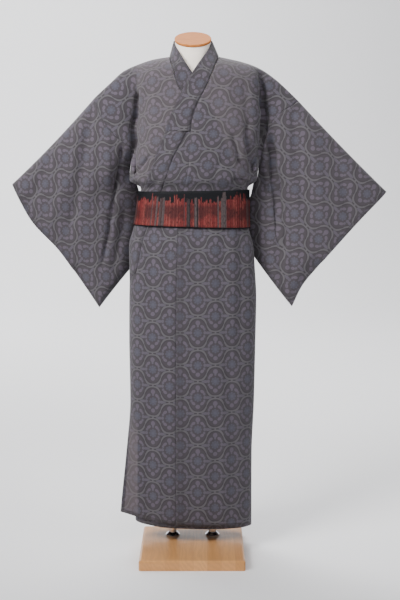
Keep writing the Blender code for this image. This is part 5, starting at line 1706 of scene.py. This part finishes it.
BLOCK_DROP = 0.014
STREAK_DROP = 0.016
THREAD_DROP = 0.005
SPIKE_RISE = 0.012
SPIKES_ABOVE = 0.84
RED_GROUPS = 61.0
RED_GROUP_SHIFT = 2.1
HEM_DARK_START = 0.0020
HEM_DARK_END = 0.0036
DARK_BAND = 0.046
OBI_RIPPLE = 0.0004
OBI_RIPPLE_TURN = 0.11
OBI_RIPPLE_RISE = 4.0

# What changes by chance across the obi, in steps
OBI_CHANCES = (
    # name, width of a step in streaks, where its numbers start
    ("block", 4.0, 11.5),
    ("streak", 1.0, 47.5),
    ("thread", 0.22, 83.5),
    ("spike", 0.6, 29.5),
    ("dull", 0.55, 5.5),
)

# How far the obi lies outside the innermost layer
OBI_LIFTS = (
    # angle in degrees from the front middle, distance
    (-180.0, 0.0028),
    (-125.0, 0.0030),
    (-98.0, 0.0084),
    (-8.0, 0.0084),
    (10.0, 0.0076),
    (78.0, 0.0074),
    (104.0, 0.0036),
    (180.0, 0.0028),
)

# The obi's tilt, as its edges rise and fall towards the sides
OBI_TILT = (
    # z, rise for each metre towards the wearer's left
    (OBI_BOTTOM, -0.030),
    (WAIST_Z, 0.0),
    (OBI_TOP, 0.015),
)


def add_ramp(factor, stops):
    """A colour ramp with stops of (place, colour)."""
    node = factor.id_data.nodes.new("ShaderNodeValToRGB")
    ramp = node.color_ramp
    while len(ramp.elements) < len(stops):
        ramp.elements.new(0.5)
    for element, (place, colour) in zip(ramp.elements, stops):
        element.position = place
        element.color = (*colour, 1.0)
    feed(node.inputs["Fac"], factor)
    return node.outputs["Color"]


def obi_weave():
    """Ragged upright streaks by chance, reddish in broad groups between narrower grey ones, laid out anew."""
    material, tree, sockets = new_material("streaked_obi", OBI_BLACK, 0.62, (("Specular IOR Level", 0.12),))
    place = flat_place(tree)
    u, v, _ = split_place(place)

    chance = {
        name: chance_of(plus(whole_part(divided(u, OBI_STREAK * width)), start))
        for name, width, start in OBI_CHANCES
    }
    spike = is_above(chance["spike"], SPIKES_ABOVE)
    top = times_plus(chance["block"], -BLOCK_DROP, times_plus(chance["streak"], -STREAK_DROP, STREAK_TOP))
    top = times_plus(spike, SPIKE_RISE, times_plus(chance["thread"], -THREAD_DROP, top))
    below_top = soft_step(STREAK_SOFT, -STREAK_SOFT, minus(v, top))
    group = sine_of(times_plus(u, RED_GROUPS, RED_GROUP_SHIFT))
    group = times_plus(group, 0.5, times_plus(chance["streak"], 0.9, 0.24))
    reddish = soft_step(0.22, 0.40, group)
    red = add_ramp(chance["thread"], OBI_REDS)
    depth = add_noise(stretched(place, 1.0, 0.8), 26.0)
    middle = times(soft_step(0.030, 0.012, absolute(minus(v, DARK_BAND))), soft_step(0.34, 0.52, depth))
    red = add_mix(middle, red, add_mix(0.75, red, OBI_BROWN))
    grey = add_ramp(chance["dull"], OBI_GREYS)
    fleck = soft_step(0.48, 0.64, add_noise(stretched(place, 1.0, 0.16), 620.0, 3.0))
    streaks = add_mix(times(fleck, 0.62), add_mix(reddish, grey, red), OBI_BLACK)
    tone = add_mix(below_top, OBI_BLACK, streaks)
    feed(sockets["Base Color"], add_mix(soft_step(HEM_DARK_END, HEM_DARK_START, v), tone, OBI_BLACK))
    height, _ = add_weave(place, OBI_THREAD)
    add_bump(times_plus(sine_of(times(v, OBI_RIBS)), 0.4, height), 0.45, 0.0002, sockets)
    return material


def obi_band():
    """One turn of the obi, as a closed ring of faces."""
    sheet = Sheet()
    flat_rows = []
    for level in range(OBI_LEVELS + 1):
        share = level / OBI_LEVELS
        height = mix(OBI_BOTTOM, OBI_TOP, share)
        slope = read(OBI_TILT, height, 1)
        points = []
        for column in range(OBI_COLUMNS):
            degrees = -180.0 + 360.0 * column / OBI_COLUMNS
            angle = math.radians(degrees)
            ripple = OBI_RIPPLE * math.sin(degrees * OBI_RIPPLE_TURN + share * OBI_RIPPLE_RISE)
            lift = read(OBI_LIFTS, degrees, 1) + ripple
            x = section_point(WAIST_Z, angle).x
            points.append(section_point(height + slope * x, angle, lift))
        sheet.add_row(points)
        if not flat_rows:
            around = arc_places(points + points[:1], 0.0, 0.0)
        flat_rows.append([(u, share * (OBI_TOP - OBI_BOTTOM)) for u, _ in around])
    for row in range(OBI_LEVELS):
        low = sheet.rows[row]
        high = sheet.rows[row + 1]
        for column in range(OBI_COLUMNS):
            after = (column + 1) % OBI_COLUMNS
            sheet.faces.append((low[column], low[after], high[after], high[column]))
            sheet.flat.append((flat_rows[row][column], flat_rows[row][column + 1],
                               flat_rows[row + 1][column + 1], flat_rows[row + 1][column]))
    return sheet


obi = cloth_object("obi_band", obi_band(), OBI_CLOTH, obi_weave())
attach(obi, "root")
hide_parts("obi")


# The sizes of the dressed part beside those of its CAD frame
dressed_low, dressed_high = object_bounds()
sizes = {"cad": [list(cad_low), list(cad_high)], "dressed": [list(dressed_low), list(dressed_high)]}
